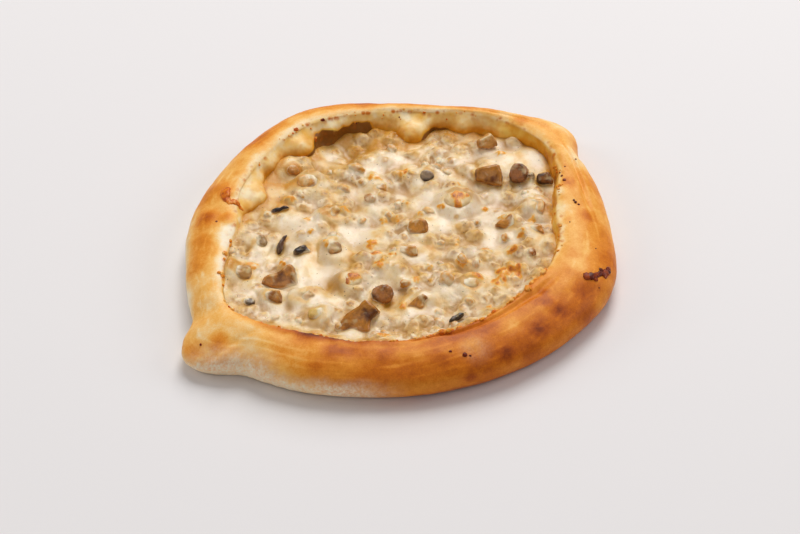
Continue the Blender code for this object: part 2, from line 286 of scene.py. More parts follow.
# Spots on the crust: angle, row (0 base, 3 widest, 8 top, 10 lip, 13 foot), radius, amount
crustLook = {
    "toastSpots": [
        (139.1, 6.1, 12, 0.34), (139.6, 8.3, 9, 0.22), (127, 6.0, 18, 0.16),
        (113, 6.8, 15, 0.10), (99, 6.6, 18, 0.16), (157, 6.3, 17, 0.14), (148, 5.6, 13, 0.14),
        (185.3, 6.3, 9, 0.24), (181.5, 4.6, 9, 0.12), (216.9, 7.2, 6, 0.16), (213.5, 7.4, 9, 0.26),
        (204, 8.2, 12, 0.16), (221, 7.9, 12, 0.14), (218.6, 4.3, 7, 0.05),
        (209.8, 5.3, 6, 0.10), (250.9, 3.4, 6, 0.20), (324.6, 6.2, 9, 0.24), (318, 5.6, 14, 0.10),
        (294.4, 5.5, 12, 0.16), (283, 7.0, 6, 0.18), (283.3, 5.7, 7, 0.16), (274, 5.4, 8, 0.14),
        (262, 4.6, 9, 0.12), (309, 4.6, 16, 0.12), (286, 7.6, 6, 0.20), (340, 7.8, 7, 0.14),
        (60, 5.5, 16, 0.18), (30, 5.0, 18, 0.14), (12, 7.6, 8, 0.14), (228, 7.6, 12, 0.12),
        (244, 6.6, 12, 0.10), (268, 3.2, 12, 0.12), (289, 3.2, 12, 0.14), (302, 2.4, 14, 0.12),
    ],
    "paleSpots": [
        (302, 6.9, 10, 0.16), (254.7, 6.5, 12, 0.10), (148, 8.6, 13, 0.30), (160, 8.6, 13, 0.14),
        (350, 5.8, 16, 0.20), (4, 5.0, 18, 0.20), (39, 8.0, 14, 0.10), (192, 6.0, 9, 0.10),
        (328, 8.2, 10, 0.18), (336, 8.8, 8, 0.18), (165, 3.0, 22, 0.18), (150, 3.4, 20, 0.14),
        (172, 7.2, 10, 0.10), (16, 7.2, 12, 0.18), (232, 6.8, 9, 0.05), (218, 5.8, 13, 0.12),
        (187, 7.2, 12, 0.06), (112, 5.4, 16, 0.08),
    ],
    # hanging cheese and the hollows between it on the inner wall: angle, row, radius, height
    "lobes": [
        (89.6, 10.9, 12, 1.8), (120.5, 10.9, 12, 1.6), (45.2, 11.3, 14, 1.8), (28.7, 11.0, 11, 1.2),
        (104, 10.7, 8, 0.8), (55, 10.8, 8, 0.8), (15, 11.0, 10, 0.9), (136, 11.0, 8, 0.8),
        (70.7, 12.2, 12, -4.4), (58.9, 12.3, 4, -2.2), (37.1, 12.0, 6, -2.0), (77, 11.9, 7, -2.0),
        (338, 10.6, 8, 1.4), (322, 10.4, 8, 1.2), (350, 10.8, 8, 1.4), (309, 10.3, 6, 0.9),
    ],
    # blown blisters: angle, row, radius, height
    "blisters": [
        (139.1, 6.2, 11, 1.2), (139.6, 8.3, 8, 1.3), (301, 5.6, 12, 0.6), (325, 6.4, 14, 0.8),
        (127.2, 7.9, 5, 0.9), (218, 5.0, 16, 0.5), (283, 6.6, 9, 0.5), (127, 6.2, 14, 0.7),
        (157, 6.0, 18, 0.6),
    ],
    "noiseSeed": 4.0,
}


def buildCrustGrid():
    sections = readSections()
    fine = refine(sections, loft["sliceSteps"], True)
    fine = refine(fine.transpose(1, 0, 2), loft["rowSteps"], False)    # rows, slices, (r, z)
    rows, slices = fine.shape[:2]
    angles = np.broadcast_to(np.arange(slices) * 360.0 / slices, (rows, slices))
    level = np.broadcast_to((np.arange(rows) / loft["rowSteps"])[:, None], (rows, slices))
    soft = fine.copy()                       # one even curve from the foot up to the shoulder
    for _ in range(loft["softening"]):
        soft[1:-1] = 0.5 * soft[1:-1] + 0.25 * (soft[2:] + soft[:-2])
    share = smoothStep(level, 0.0, 1.6) * (1.0 - smoothStep(level, 6.0, 8.0))
    fine = fine + share[..., None] * (soft - fine)
    fine[..., 0] += 0.9 * share * bump((level - 3.2) / 2.4)
    turn = np.radians(angles)
    points = np.stack([fine[..., 0] * np.cos(turn), fine[..., 0] * np.sin(turn), fine[..., 1]], -1)
    return points, angles, level


def gridNormals(points):
    around = np.roll(points, -1, 1) - np.roll(points, 1, 1)
    along = np.gradient(points, axis=0)
    normals = np.cross(around, along)
    return normals / np.maximum(np.linalg.norm(normals, axis=-1, keepdims=True), 1e-9)


def surfacePoint(points, angle, row):
    j = round(angle / 360.0 * points.shape[1]) % points.shape[1]
    i = min(round(row * loft["rowSteps"]), points.shape[0] - 1)
    return points[i, j]


def spotWeight(points, angle, row, radius):
    centre = surfacePoint(points, angle, row)
    return bump(np.linalg.norm(points - centre, axis=-1) / radius)


def skinRelief(points, angles, level):       # waves of the dough, its lip, the fold and blisters
    seed = crustLook["noiseSeed"]
    reach = np.linalg.norm(points[..., :2], axis=-1)
    free = smoothStep(level, 0.4, 2.5)       # the base stays flat
    outer = free * (1.0 - smoothStep(level, 9.0, 10.5))
    push = 0.9 * noiseAt(points, 30.0, seed) + 0.55 * noiseAt(points, 13.0, seed + 3)
    push += 0.16 * noiseAt(points, 5.0, seed + 5) + 0.05 * noiseAt(points, 2.2, seed + 9)
    push *= free
    # fine stretch lines that run along the rim
    arc = np.radians(angles) * reach
    lines = np.stack([arc / 18.0, level * 2.6, 0.03 * reach], -1)
    push += 0.06 * outer * noiseAt(lines, 1.0, seed + 11)
    # toasted, crumbly inner lip, strongest along the front
    lip = bump((level - 9.6) / 1.1)
    frontLip = window(angles, 176.0, 300.0, 12.0)
    crumb = np.abs(noiseAt(points, 2.8, seed + 13))
    push += lip * (0.2 + 0.8 * frontLip) * (1.3 * crumb + 0.3 * noiseAt(points, 6.0, seed))
    # the lip is folded double at the front right
    drift = 8.5 - 0.018 * turnGap(angles, 262.0) + 0.25 * noiseAt(points, 14.0, seed + 15)
    push -= 1.5 * window(angles, 236.0, 291.0, 9.0) * bump((level - drift) / 0.42)
    for angle, row, radius, height in crustLook["blisters"]:
        push += height * spotWeight(points, angle, row, radius)
    return push


def knobRelief(points, angles, level):       # swollen end, a crease on each side, radial wrinkles
    seed = crustLook["noiseSeed"]
    slant = level * 30.0                     # rows as degrees, for a window up the side
    push = 1.6 * spotWeight(points, 181.0, 6.4, 16.0) + 0.9 * spotWeight(points, 190.0, 4.0, 12.0)
    creaseLeft = bump(turnGap(angles, 173.4 + 0.5 * (level - 4.0)) / 3.6)
    push -= 1.8 * creaseLeft * window(slant, 30, 235, 30)
    creaseFront = bump(turnGap(angles, 192.5 - 0.9 * (level - 4.0)) / 3.4)
    push -= 1.3 * creaseFront * window(slant, 60, 205, 30)
    ear = bump(turnGap(angles, 187.2 + 1.1 * (level - 5.0)) / 1.7)
    push -= 0.5 * ear * window(slant, 110, 225, 25)
    wrinkleZone = window(angles, 184.5, 207.0, 5.0) * window(slant, 24, 185, 40)
    wrinkles = np.stack([angles / 1.1 + 0.5 * noiseAt(points, 9.0, seed), 0.3 * level, 0 * level], -1)
    return push + 0.80 * wrinkleZone * noiseAt(wrinkles, 1.0, seed + 17)


def cornerRelief(points, angles, level):     # folded corner at the small end
    fold = 7.0 + 0.028 * turnGap(angles, 2.0)
    push = 0.6 * spotWeight(points, 352.0, 8.0, 16.0)
    return push - 1.9 * window(angles, 330.0, 22.0, 8.0) * bump((level - fold) / 0.42)


def wallRelief(points, level):               # drips and folds of cheese on the inner wall
    seed = crustLook["noiseSeed"]
    inner = smoothStep(level, 9.8, 11.0)
    push = inner * (1.0 * noiseAt(points, 8.0, seed + 19) + 0.35 * noiseAt(points, 3.2, seed + 23))
    for angle, row, radius, height in crustLook["lobes"]:
        push += height * smoothStep(level, 8.6, 10.0) * spotWeight(points, angle, row, radius)
    return push


def shapeCrust(points, angles, level):
    push = skinRelief(points, angles, level) + knobRelief(points, angles, level)
    push += cornerRelief(points, angles, level) + wallRelief(points, level)
    shaped = points + gridNormals(points) * push[..., None]
    # the lip stands up as a thin crest along the front
    crest = bump((level - 9.3) / 1.5) * window(angles, 180.0, 296.0, 14.0)
    shaped[..., 2] += crest * (1.5 + 0.9 * noiseAt(points, 11.0, crustLook["noiseSeed"] + 25))
    shaped[..., 2] = np.maximum(shaped[..., 2], 0.0)
    shaped[0, :, 2] = 0.0
    return shaped


def rimSides(angles):                        # back, left, front and right stretch of the rim
    return (window(angles, 24.0, 108.0, 16.0), window(angles, 108.0, 178.0, 12.0),
            window(angles, 200.0, 296.0, 18.0), window(angles, 296.0, 24.0, 14.0))


def browning(points, angles, level, ragged):  # 0 pale, 1 burnt
    seed = crustLook["noiseSeed"]
    back, left, front, right = rimSides(angles)
    top = bump((level - 7.6) / 2.2)
    side = bump((level - 4.4) / 2.8)
    # the front wall is browner: partly oven browning, partly painted shade on the side turned from the
    # lights
    toast = 0.33 - 0.03 * left + 0.04 * front
    toast += front * (0.16 * side * window(angles, 222.0, 300.0, 16.0) + 0.08 * side
                      + 0.13 * bump((level - 6.4) / 3.0) + 0.20 * bump((ragged - 9.3) / 1.3))
    toast += 0.22 * window(angles, 184.0, 219.0, 8.0) * bump((ragged - 9.2) / 1.3)
    toast += 0.15 * window(angles, 232.0, 288.0, 12.0) * bump((ragged - 7.9) / 1.0)
    # back rim: browner shoulder, paler top that is partly pale dough and partly painted light
    toast += back * (0.16 * bump((level - 5.8) / 2.8) - 0.20 * bump((level - 8.9) / 1.7))
    toast += left * (0.06 * side + 0.02 * top - 0.20 * (1.0 - smoothStep(level, 2.6, 4.8)))
    toast += right * (0.11 * side + 0.07 * top)
    # darker foot along the front right, partly oven browning and partly painted shade under the curve; pale
    # foot elsewhere
    foot = 1.0 - smoothStep(level, 0.8, 3.9)
    toast += 0.34 * foot * window(angles, 236.0, 322.0, 18.0)
    toast += 0.10 * foot * window(angles, 214.0, 250.0, 14.0)
    toast -= 0.08 * foot * window(angles, 335.0, 215.0, 16.0)
    # dark line on the lip at the front and left, pale lip at the left and right
    edge = level + 0.5 * noiseAt(points, 7.0, seed + 27)
    toast += bump((edge - 9.5) / 0.7) * (0.12 * window(angles, 180.0, 296.0, 10.0)
                                         + 0.06 * window(angles, 150.0, 178.0, 8.0))
    toast -= 0.20 * window(angles, 110.0, 174.0, 9.0) * bump((edge - 8.9) / 1.5)
    toast -= 0.16 * window(angles, 300.0, 354.0, 12.0) * bump((edge - 9.2) / 1.1)
    for angle, row, radius, amount in crustLook["toastSpots"]:
        toast += amount * spotWeight(points, angle, row, radius)
    for angle, row, radius, amount in crustLook["paleSpots"]:
        toast -= amount * spotWeight(points, angle, row, radius)
    toast += 0.13 * noiseAt(points, 30.0, seed + 31) + 0.07 * noiseAt(points, 12.0, seed + 37)
    toast += 0.02 * noiseAt(points, 4.0, seed + 41)
    # pale stretch marks that run along the rim
    arc = np.radians(angles) * np.linalg.norm(points[..., :2], axis=-1)
    marks = np.stack([arc / 13.0 + 0.6 * level, level * 2.4, 0.0 * level], -1)
    return toast - 0.10 * smoothStep(noiseAt(marks, 1.0, seed + 53), 0.10, 0.55) * bump((level - 6.0) / 3.4)


def flourDust(points, angles, level, ragged):
    flour = 1.2 * window(angles, 180.0, 226.0, 10.0) * (1.0 - smoothStep(ragged, 2.4, 4.6))
    flour += 0.7 * window(angles, 184.0, 199.0, 4.0) * (1.0 - smoothStep(ragged, 4.2, 6.4))
    flour += 0.18 * window(angles, 222.0, 262.0, 14.0) * (1.0 - smoothStep(level, 0.6, 2.2))
    flour += 0.22 * window(angles, 108.0, 178.0, 14.0) * (1.0 - smoothStep(level, 1.6, 3.6))
    flour += 0.20 * spotWeight(points, 254.7, 6.3, 13.0)
    return flour * (0.8 + 0.6 * noiseAt(points, 4.0, crustLook["noiseSeed"] + 43))


def wallFilm(points, angles, level):         # cheese on the inner wall, its freckles, its golden lower film partly painted shade, painted shadow in the hollows
    seed = crustLook["noiseSeed"]
    back, left, _, right = rimSides(angles)
    rise = level + 0.9 * noiseAt(points, 9.0, seed + 47) + 0.3 * noiseAt(points, 3.0, seed + 49)
    rise += 0.70 * back + 0.35 * left + 0.60 * right
    cheese = smoothStep(rise, 9.2, 10.1) * (0.25 + 0.75 * smoothStep(level, 9.2, 10.4)
                                            + 0.5 * np.clip(back + left + right, 0, 1))
    freckle = bump((level - 9.3) / 1.3) * (0.9 * back + 0.6 * left + 0.8 * right + 0.1)
    freckle += 0.25 * smoothStep(level, 10.0, 11.0) * (back + left)
    low = level + 0.5 * noiseAt(points, 5.0, seed + 51)
    # painted shadow in the hollows under the hanging cheese
    hollowShadow = window(angles, 60.5, 83.5, 1.5) * smoothStep(low, 10.5, 10.9)
    hollowShadow += 0.6 * window(angles, 81.0, 90.0, 3.0) * smoothStep(low, 11.0, 11.7)
    hollowShadow += window(angles, 57.5, 60.5, 1.0) * smoothStep(level, 11.9, 12.3)
    hollowShadow += 0.8 * window(angles, 33.0, 41.0, 2.0) * smoothStep(low, 11.1, 11.8)
    # golden lower film, partly oily cheese and partly painted shade; painted shade on the right inner wall
    deep = np.maximum(0.72 * smoothStep(level, 9.9, 11.9), 0.66 * right * smoothStep(level, 8.6, 10.2))
    return cheese, freckle, deep + hollowShadow


def paintCrust(points, angles, level):
    seed = crustLook["noiseSeed"]
    ragged = level + 0.5 * noiseAt(points, 16.0, seed + 29) + 0.25 * noiseAt(points, 6.0, seed + 33)
    cheese, freckle, deep = wallFilm(points, angles, level)
    paints = {"toast": browning(points, angles, level, ragged),
              "flour": flourDust(points, angles, level, ragged),
              "cheese": cheese, "freckle": freckle, "deep": deep}
    return {key: np.clip(values, 0.0, 1.0) for key, values in paints.items()}


def bakedDoughMaterial():
    # baked yeast dough, hand shaped: satin, golden where the oven reached it, floury at the knob
    material, tree = newMaterial("bakedDough")
    place = addNode(tree, "ShaderNodeTexCoord").outputs["Object"]
    toast, flour, cheese, freckle, deep = [
        addNode(tree, "ShaderNodeAttribute", {"attribute_name": key}).outputs["Fac"]
        for key in ("toast", "flour", "cheese", "freckle", "deep")]
    # 12 mm clouds, 3 mm mottling and 0.8 mm pores of the skin
    cloud = addNode(tree, "ShaderNodeTexNoise", values={"Scale": 80.0, "Detail": 3.0, "Roughness": 0.6},
                    links={"Vector": place}).outputs["Fac"]
    mottle = addNode(tree, "ShaderNodeTexNoise", values={"Scale": 320.0, "Detail": 5.0, "Roughness": 0.62},
                     links={"Vector": place}).outputs["Fac"]
    pores = addNode(tree, "ShaderNodeTexNoise", values={"Scale": 1250.0, "Detail": 3.0},
                    links={"Vector": place}).outputs["Fac"]
    shift = addNode(tree, "ShaderNodeMapRange", values={"From Min": 0.3, "From Max": 0.7,
                    "To Min": -0.05, "To Max": 0.05}, links={"Value": cloud}).outputs[0]
    speckle = addNode(tree, "ShaderNodeMapRange", values={"From Min": 0.3, "From Max": 0.7,
                      "To Min": -0.022, "To Max": 0.022}, links={"Value": mottle}).outputs[0]
    grain = addNode(tree, "ShaderNodeMapRange", values={"From Min": 0.3, "From Max": 0.7,
                    "To Min": -0.038, "To Max": 0.038}, links={"Value": pores}).outputs[0]
    shade = toast
    for change in (shift, speckle, grain):
        shade = addNode(tree, "ShaderNodeMath", {"operation": "ADD"}, links={0: shade, 1: change}).outputs[0]
    crumb = addNode(tree, "ShaderNodeValToRGB", links={"Fac": shade}, stops=[
        (0.0, "#fdecce"), (0.15, "#fbd9a0"), (0.30, "#f7b95e"), (0.45, "#e8932d"),
        (0.60, "#cf7010"), (0.75, "#ab500a"), (0.88, "#762f08"), (1.0, "#4a1c06")]).outputs["Color"]
    # cheese film on the inner wall: pale cream above, golden below, partly oily cheese and partly painted
    # shade
    film = addNode(tree, "ShaderNodeTexNoise", values={"Scale": 95.0, "Detail": 3.0},
                   links={"Vector": place}).outputs["Fac"]
    filmColour = addNode(tree, "ShaderNodeValToRGB", links={"Fac": film}, stops=[
        (0.30, "#efb44e"), (0.48, "#f8cf82"), (0.66, "#feeac0")]).outputs["Color"]
    golden = addNode(tree, "ShaderNodeValToRGB", links={"Fac": film}, stops=[
        (0.28, "#c87612"), (0.50, "#e89e28"), (0.68, "#f6c65a")]).outputs["Color"]
    near = addNode(tree, "ShaderNodeMapRange", values={"From Min": 0.05, "From Max": 0.65},
                   links={"Value": deep}).outputs[0]
    filmColour = addNode(tree, "ShaderNodeMix", {"data_type": "RGBA"},
                         links={0: near, 6: filmColour, 7: golden}).outputs[2]
    # painted shadow: dark brown in the hollows under the hanging cheese
    dark = addNode(tree, "ShaderNodeMapRange", values={"From Min": 0.78, "From Max": 1.0},
                   links={"Value": deep}).outputs[0]
    filmColour = addNode(tree, "ShaderNodeMix", {"data_type": "RGBA"}, {7: "#8a561c"},
                         {0: dark, 6: filmColour}).outputs[2]
    colour = addNode(tree, "ShaderNodeMix", {"data_type": "RGBA"},
                     links={0: cheese, 6: crumb, 7: filmColour}).outputs[2]
    # toasted freckles, 2 to 3 mm
    dots = addNode(tree, "ShaderNodeTexVoronoi", values={"Scale": 250.0, "Randomness": 1.0},
                   links={"Vector": place}).outputs["Distance"]
    patch = addNode(tree, "ShaderNodeTexNoise", values={"Scale": 75.0, "Detail": 2.0},
                    links={"Vector": place}).outputs["Fac"]
    dot = addNode(tree, "ShaderNodeMapRange", values={"From Min": 0.46, "From Max": 0.22},
                  links={"Value": dots}).outputs[0]
    spread = addNode(tree, "ShaderNodeMapRange", values={"From Min": 0.43, "From Max": 0.53},
                     links={"Value": patch}).outputs[0]
    dot = addNode(tree, "ShaderNodeMath", {"operation": "MULTIPLY"}, links={0: dot, 1: spread}).outputs[0]
    dot = addNode(tree, "ShaderNodeMath", {"operation": "MULTIPLY"}, links={0: dot, 1: freckle}).outputs[0]
    colour = addNode(tree, "ShaderNodeMix", {"data_type": "RGBA"}, {7: "#d0701a"},
                     {0: dot, 6: colour}).outputs[2]
    # dusting of flour, broken up by 1.6 mm grains
    dust = addNode(tree, "ShaderNodeTexNoise", values={"Scale": 620.0, "Detail": 4.0, "Roughness": 0.7},
                   links={"Vector": place}).outputs["Fac"]
    dust = addNode(tree, "ShaderNodeMapRange", values={"From Min": 0.36, "From Max": 0.62,
                   "To Min": 0.40, "To Max": 1.0}, links={"Value": dust}).outputs[0]
    dust = addNode(tree, "ShaderNodeMath", {"operation": "MULTIPLY"}, links={0: dust, 1: flour}).outputs[0]
    colour = addNode(tree, "ShaderNodeMix", {"data_type": "RGBA"}, {7: "#f8e8cc"},
                     {0: dust, 6: colour}).outputs[2]
    rough = addNode(tree, "ShaderNodeMapRange", values={"From Min": 0.0, "From Max": 1.0,
                    "To Min": 0.46, "To Max": 0.36}, links={"Value": cheese}).outputs[0]
    rough = addNode(tree, "ShaderNodeMath", {"operation": "MULTIPLY_ADD"}, {1: 0.4},
                    {0: flour, 2: rough}).outputs[0]
    height = addNode(tree, "ShaderNodeMath", {"operation": "MULTIPLY_ADD"}, {1: 0.30},
                     {0: pores, 2: mottle}).outputs[0]
    relief = addNode(tree, "ShaderNodeBump", values={"Strength": 0.20, "Distance": 0.0009},
                     links={"Height": height}).outputs["Normal"]
    shader = addNode(tree, "ShaderNodeBsdfPrincipled", values={
        "Subsurface Weight": 0.05, "Subsurface Radius": (0.003, 0.002, 0.001),
        "Subsurface Scale": 1.0, "Specular IOR Level": 0.18},
        links={"Base Color": colour, "Roughness": rough, "Normal": relief})
    addNode(tree, "ShaderNodeOutputMaterial", links={"Surface": shader.outputs[0]})
    return material


def makeCrust(grid):
    points, angles, level = grid
    attributes = paintCrust(points, angles, level)
    rows, slices = points.shape[:2]
    centre = np.array([loft["centre"][0], loft["centre"][1], 0.0])
    cloud = list((points + centre).reshape(-1, 3))
    base = len(cloud)
    cloud.append(centre)
    cloud.append(centre + np.array([0.0, 0.0, points[-1, 0, 2]]))
    faces = [ringFaces(rows, slices), fanFaces(0, slices, base, True),
             fanFaces((rows - 1) * slices, slices, base + 1, False)]
    padded = {key: np.append(values.ravel(), [0.3, 0.3] if key == "toast" else [0.0, 0.0])
              for key, values in attributes.items()}
    item = meshObject("bakedCrust", cloud, faces, bakedDoughMaterial(), padded)
    finishPiece(item, "crust", "crust")
    print("crust:", len(item.data.polygons), "faces")


# Filling: melted cheese as a fine sheet of relief out to the crust's inner wall

cheeseLook = {
    "level": 19.0, "edge": 18.4, "climb": 3.0,
    "tuck": 0.8,                            # reach into the crust's wall
    "skirt": (0.6, 2.0),                    # its foot: height over the dough, inset
    "slowLump": (17.0, 2.0, 5.0),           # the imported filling's waves: spacing, height, slice of noise
    "heap": (92.0, -2.0, 34.0, 4.5),        # x, y, radius, height
    "hollow": (28.0, 88.0, 24.0, -5.5),
    "mounds": [(-24, -14, 26, 3.6), (-36, 34, 20, 2.4), (50, -56, 24, 2.2), (58, 22, 24, 2.2),
               (-6, -66, 18, 2.0), (24, 52, 20, 2.0), (-92, -16, 18, 1.6), (12, 2, 18, -1.6),
               (-52, -4, 16, -1.0), (72, -18, 16, -1.0)],
    "gridSize": 308,
    "seed": 21,
    # smooth pools of cheese: x, y, radius
    "pools": [(-56, 8, 25), (30, -4, 19), (-20, 12, 18), (-26, -32, 15), (28, 62, 18), (20, 86, 13),
              (-100, 12, 11), (66, 22, 16), (-70, -24, 12), (-45, 38, 16), (60, -14, 13), (42, -44, 12),
              (-76, 30, 13), (95, 18, 18), (104, -4, 11), (-72, 2, 13), (41, 47, 12), (-30, -62, 12),
              (4, 40, 11), (84, -30, 9), (18, -60, 9), (-88, -34, 9), (-4, -22, 11), (60, 50, 10)],
    # sheets drawn out into fine strands: x, y, radius
    "strands": [(-26, -12, 34), (-14, -50, 18), (-38, 22, 22), (24, -4, 16)],
    # toasted patches: x, y, radius, browning
    "toasted": [
        (21, 47, 4.2, 0.6), (37, 39, 3.6, 0.8), (21, 17, 2.7, 0.6), (56, -17, 2.0, 0.7),
        (-19, -1, 3.6, 0.8), (-23, -10, 2.4, 0.9), (-29, -22, 3.6, 0.8),
        (9, -63, 4.5, 0.85), (19, -74, 4.2, 0.8), (32, -72, 4.5, 1.0),
        (42, -58, 3.3, 0.85), (31, -48, 2.7, 0.8), (13, -47, 3.6, 0.7), (95, 15, 2.7, 0.7),
        (-14, 33, 3.0, 0.6), (55, -52, 2.7, 0.7), (-17, -18, 1.8, 0.8), (-39, -55, 2.7, 0.7),
        (70, -43, 2.1, 0.6), (34, -1, 1.8, 0.7), (22, 4, 2.1, 0.5), (-36, 41, 2.4, 0.6),
        (-42, 30, 1.8, 0.6), (-27, -48, 1.8, 0.4), (-64, -70, 3.6, 0.7), (22, -30, 1.8, 0.5),
        (57, 9, 1.8, 0.5), (8, 11, 2.7, 0.5), (1, 13, 2.1, 0.6), (57, -33, 2.7, 0.6),
        (-33, 64, 3.4, 0.6), (-43, 14, 2.1, 0.6), (-72, 18, 2.1, 0.9), (-86, 27, 3.4, 0.6),
        (-31, 19, 2.7, 0.5), (0, -86, 1.5, 0.6), (77, -16, 1.8, 0.4), (-4, -37, 2.1, 0.5),
        (-17, -42, 2.7, 0.6), (26, -69, 3.6, 0.9),
    ],
}

# Diced chicken and small mushroom in the cheese: x, y, size, tone (0 pale, 1 dark)
diceLook = {
    "seed": 33,
    "lap": 2.0,                             # height the cheese creeps up them
    # more of them at random: how many at most, tries, sizes, tones
    "extra": 70,
    "tries": 4000,
    "sizes": (3.8, 7.2),
    "tones": (0.05, 0.6),
    "placed": [
        (-14, 55, 4.8, 0.35), (-1, 51, 7.8, 0.35), (5, 62, 6.6, 0.15), (18, 36, 6.6, 0.4),
        (6, 32, 7.2, 0.55), (16, 18, 7.2, 0.45), (52, 11, 6.6, 0.6), (68, 30, 7.2, 0.55),
        (64, 37, 5.4, 0.35), (29, 72, 7.2, 0.6), (40, 68, 5.4, 0.45), (47, 63, 6.0, 0.4),
        (81, 39, 7.2, 0.5), (-21, 35, 8.4, 0.45), (-35, 17, 7.2, 0.55), (-14, -15, 4.8, 0.6),
        (-32, -8, 7.8, 0.65), (35, -32, 8.4, 0.3), (49, -67, 6.0, 0.7), (87, -33, 8.4, 0.35),
        (62, -10, 7.2, 0.15), (-51, -19, 7.8, 0.4), (-12, -16, 5.4, 0.6), (4, -44, 7.8, 0.45),
        (-10, -35, 6.0, 0.4), (-6, -47, 6.0, 0.45), (-11, -48, 3.6, 0.9), (-6, -55, 9.0, 0.3),
        (-26, -48, 7.2, 0.35), (-37, -71, 7.2, 0.35), (-14, -79, 7.8, 0.4), (10, -87, 7.2, 0.2),
        (-4, -90, 6.0, 0.2), (44, -61, 6.0, 0.5), (41, -81, 6.0, 0.35), (33, -84, 4.8, 0.7),
        (-51, -61, 4.8, 0.35), (-66, -43, 7.8, 0.35), (-52, -81, 4.8, 0.5), (-95, -4, 5.4, 0.7),
        (-103, -18, 4.8, 0.3), (-113, -2, 5.4, 0.3), (-13, 72, 9.6, 0.45), (-33, 64, 4.8, 0.4),
        (-90, 43, 4.2, 0.3), (-71, 52, 5.4, 0.2), (70, 18, 9.0, 0.05), (112, 21, 7.4, 0.1),
        (-47, 33, 5.4, 0.3), (36, 56, 5.4, 0.3), (45, 42, 6.0, 0.2), (16, 65, 5.4, 0.3),
        (59, 44, 5.4, 0.25), (89, -12, 4.8, 0.5), (72, -54, 5.4, 0.4), (86, -41, 4.8, 0.5),
        (-7, -77, 5.4, 0.3), (-31, -79, 5.4, 0.35), (-27, -88, 5.4, 0.4), (-49, -43, 5.4, 0.35),
        (-61, -66, 4.8, 0.4), (-77, -45, 5.4, 0.35), (-90, -43, 5.4, 0.3), (-94, -28, 4.8, 0.35),
        (-107, -10, 4.8, 0.35), (-95, 10, 4.8, 0.5), (-94, 29, 4.8, 0.35), (-78, 23, 5.4, 0.3),
        (0, -8, 4.8, 0.5), (36, -13, 4.8, 0.4), (14, -25, 4.8, 0.35), (47, -46, 6.0, 0.35),
        (62, -42, 5.4, 0.4), (26, -61, 4.8, 0.5), (12, 49, 4.8, 0.35), (29, 66.7, 7.0, 0.5),
        (12.8, -46.4, 5.4, 0.3), (67.5, 43.2, 8.2, 0.3), (-20.5, -29.8, 7.5, 0.35),
        (26.8, 2.5, 7.1, 0.25), (5.9, 14.9, 6.0, 0.4), (-25, -40.8, 6.8, 0.4), (-11.1, -41.1, 6.3, 0.35),
        (-43.7, 31.6, 8.4, 0.3), (15.4, 59.6, 8.6, 0.3), (81.9, 50, 6.3, 0.4), (2.2, -43.5, 5.5, 0.5),
        (69.1, 50.9, 5.2, 0.4), (21, 88.3, 6.1, 0.5), (27, -77.4, 6.2, 0.4), (-58.4, -72.2, 5.4, 0.35),
        (18.6, 78.9, 6.0, 0.4), (-10.5, 19.4, 6.2, 0.35), (73.2, -19.2, 6.9, 0.4),
        (23.6, -26.2, 5.7, 0.35), (36.5, -23.7, 8.3, 0.3), (32.7, 82.2, 8.0, 0.45),
        (-24.5, -18.6, 6.7, 0.35), (50.2, 12.5, 8.9, 0.3), (-33.1, -23, 6.2, 0.4),
        (-7.6, 39.6, 8.7, 0.35), (59.2, 23.6, 5.7, 0.3), (79.4, -9.5, 5.4, 0.75), (75.5, -19, 5.0, 0.85),
        (94, -15.5, 5.2, 0.85), (90.5, -26, 5.0, 0.7), (82.5, -23.5, 4.6, 0.6), (102, -21, 5.6, 0.9),
        (-42, -44, 5.6, 0.8), (-52.7, -62.4, 5.8, 0.75), (-61, -34, 6.2, 0.7),
    ],
}


def fillingWave(x, y):
    spacing, height, part = cheeseLook["slowLump"]
    waves = [noise.noise(Vector((a / spacing, b / spacing, part))) for a, b in zip(x.ravel(), y.ravel())]
    return height * np.array(waves).reshape(x.shape)


def pieceBoxes():                            # middle x, middle y, half width of each cut piece
    marks = []
    for name in frame["nodes"]:
        if name in ("crust", "filling"):
            continue
        low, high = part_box(name)
        middle = (low + high) / 2.0 / mm
        half = 0.25 * ((high.x - low.x) + (high.y - low.y)) / mm
        marks.append((middle.x - loft["centre"][0], middle.y - loft["centre"][1], half))
    return marks


def poolWeight(x, y):
    flat = np.stack([x, y, 0 * x], -1)
    wobble = 1.0 + 0.45 * noiseAt(flat, 9.0, cheeseLook["seed"] + 2)
    pool = np.zeros_like(x)
    for px, py, radius in cheeseLook["pools"]:
        pool = np.maximum(pool, bump(np.hypot(x - px, y - py) / (1.15 * radius * wobble)))
    return smoothStep(pool, 0.05, 0.55)


def scatterDice(edgeAt):                     # x, y, size, tone, how far it shows, turn
    draw = random.Random(diceLook["seed"])
    taken = [(x, y, 0.8 * half) for x, y, half in pieceBoxes()]
    dice = []
    for x, y, size, tone in diceLook["placed"]:
        if min(math.hypot(x - px, y - py) - r for px, py, r in taken) < 0.22 * size:
            continue
        taken.append((x, y, 0.35 * size))
        dice.append((x, y, size, tone, draw.uniform(0.1, 0.85), draw.uniform(0.0, math.tau)))
    tries = 0
    while tries < diceLook["tries"] and len(dice) < len(diceLook["placed"]) + diceLook["extra"]:
        tries += 1
        turn = draw.uniform(0.0, math.tau)
        reach = (edgeAt(turn) - 3.0) * math.sqrt(draw.random())
        x, y = reach * math.cos(turn), reach * math.sin(turn)
        size = draw.uniform(*diceLook["sizes"])
        calm = float(poolWeight(np.array([x]), np.array([y]))[0])
        if draw.random() < 0.93 * calm:
            continue
        if min(math.hypot(x - px, y - py) - r for px, py, r in taken) < 0.55 * size:
            continue
        taken.append((x, y, 0.4 * size))
        dice.append((x, y, size, draw.uniform(*diceLook["tones"]), draw.uniform(-0.6, 0.7),
                     draw.uniform(0.0, math.tau)))
    return dice


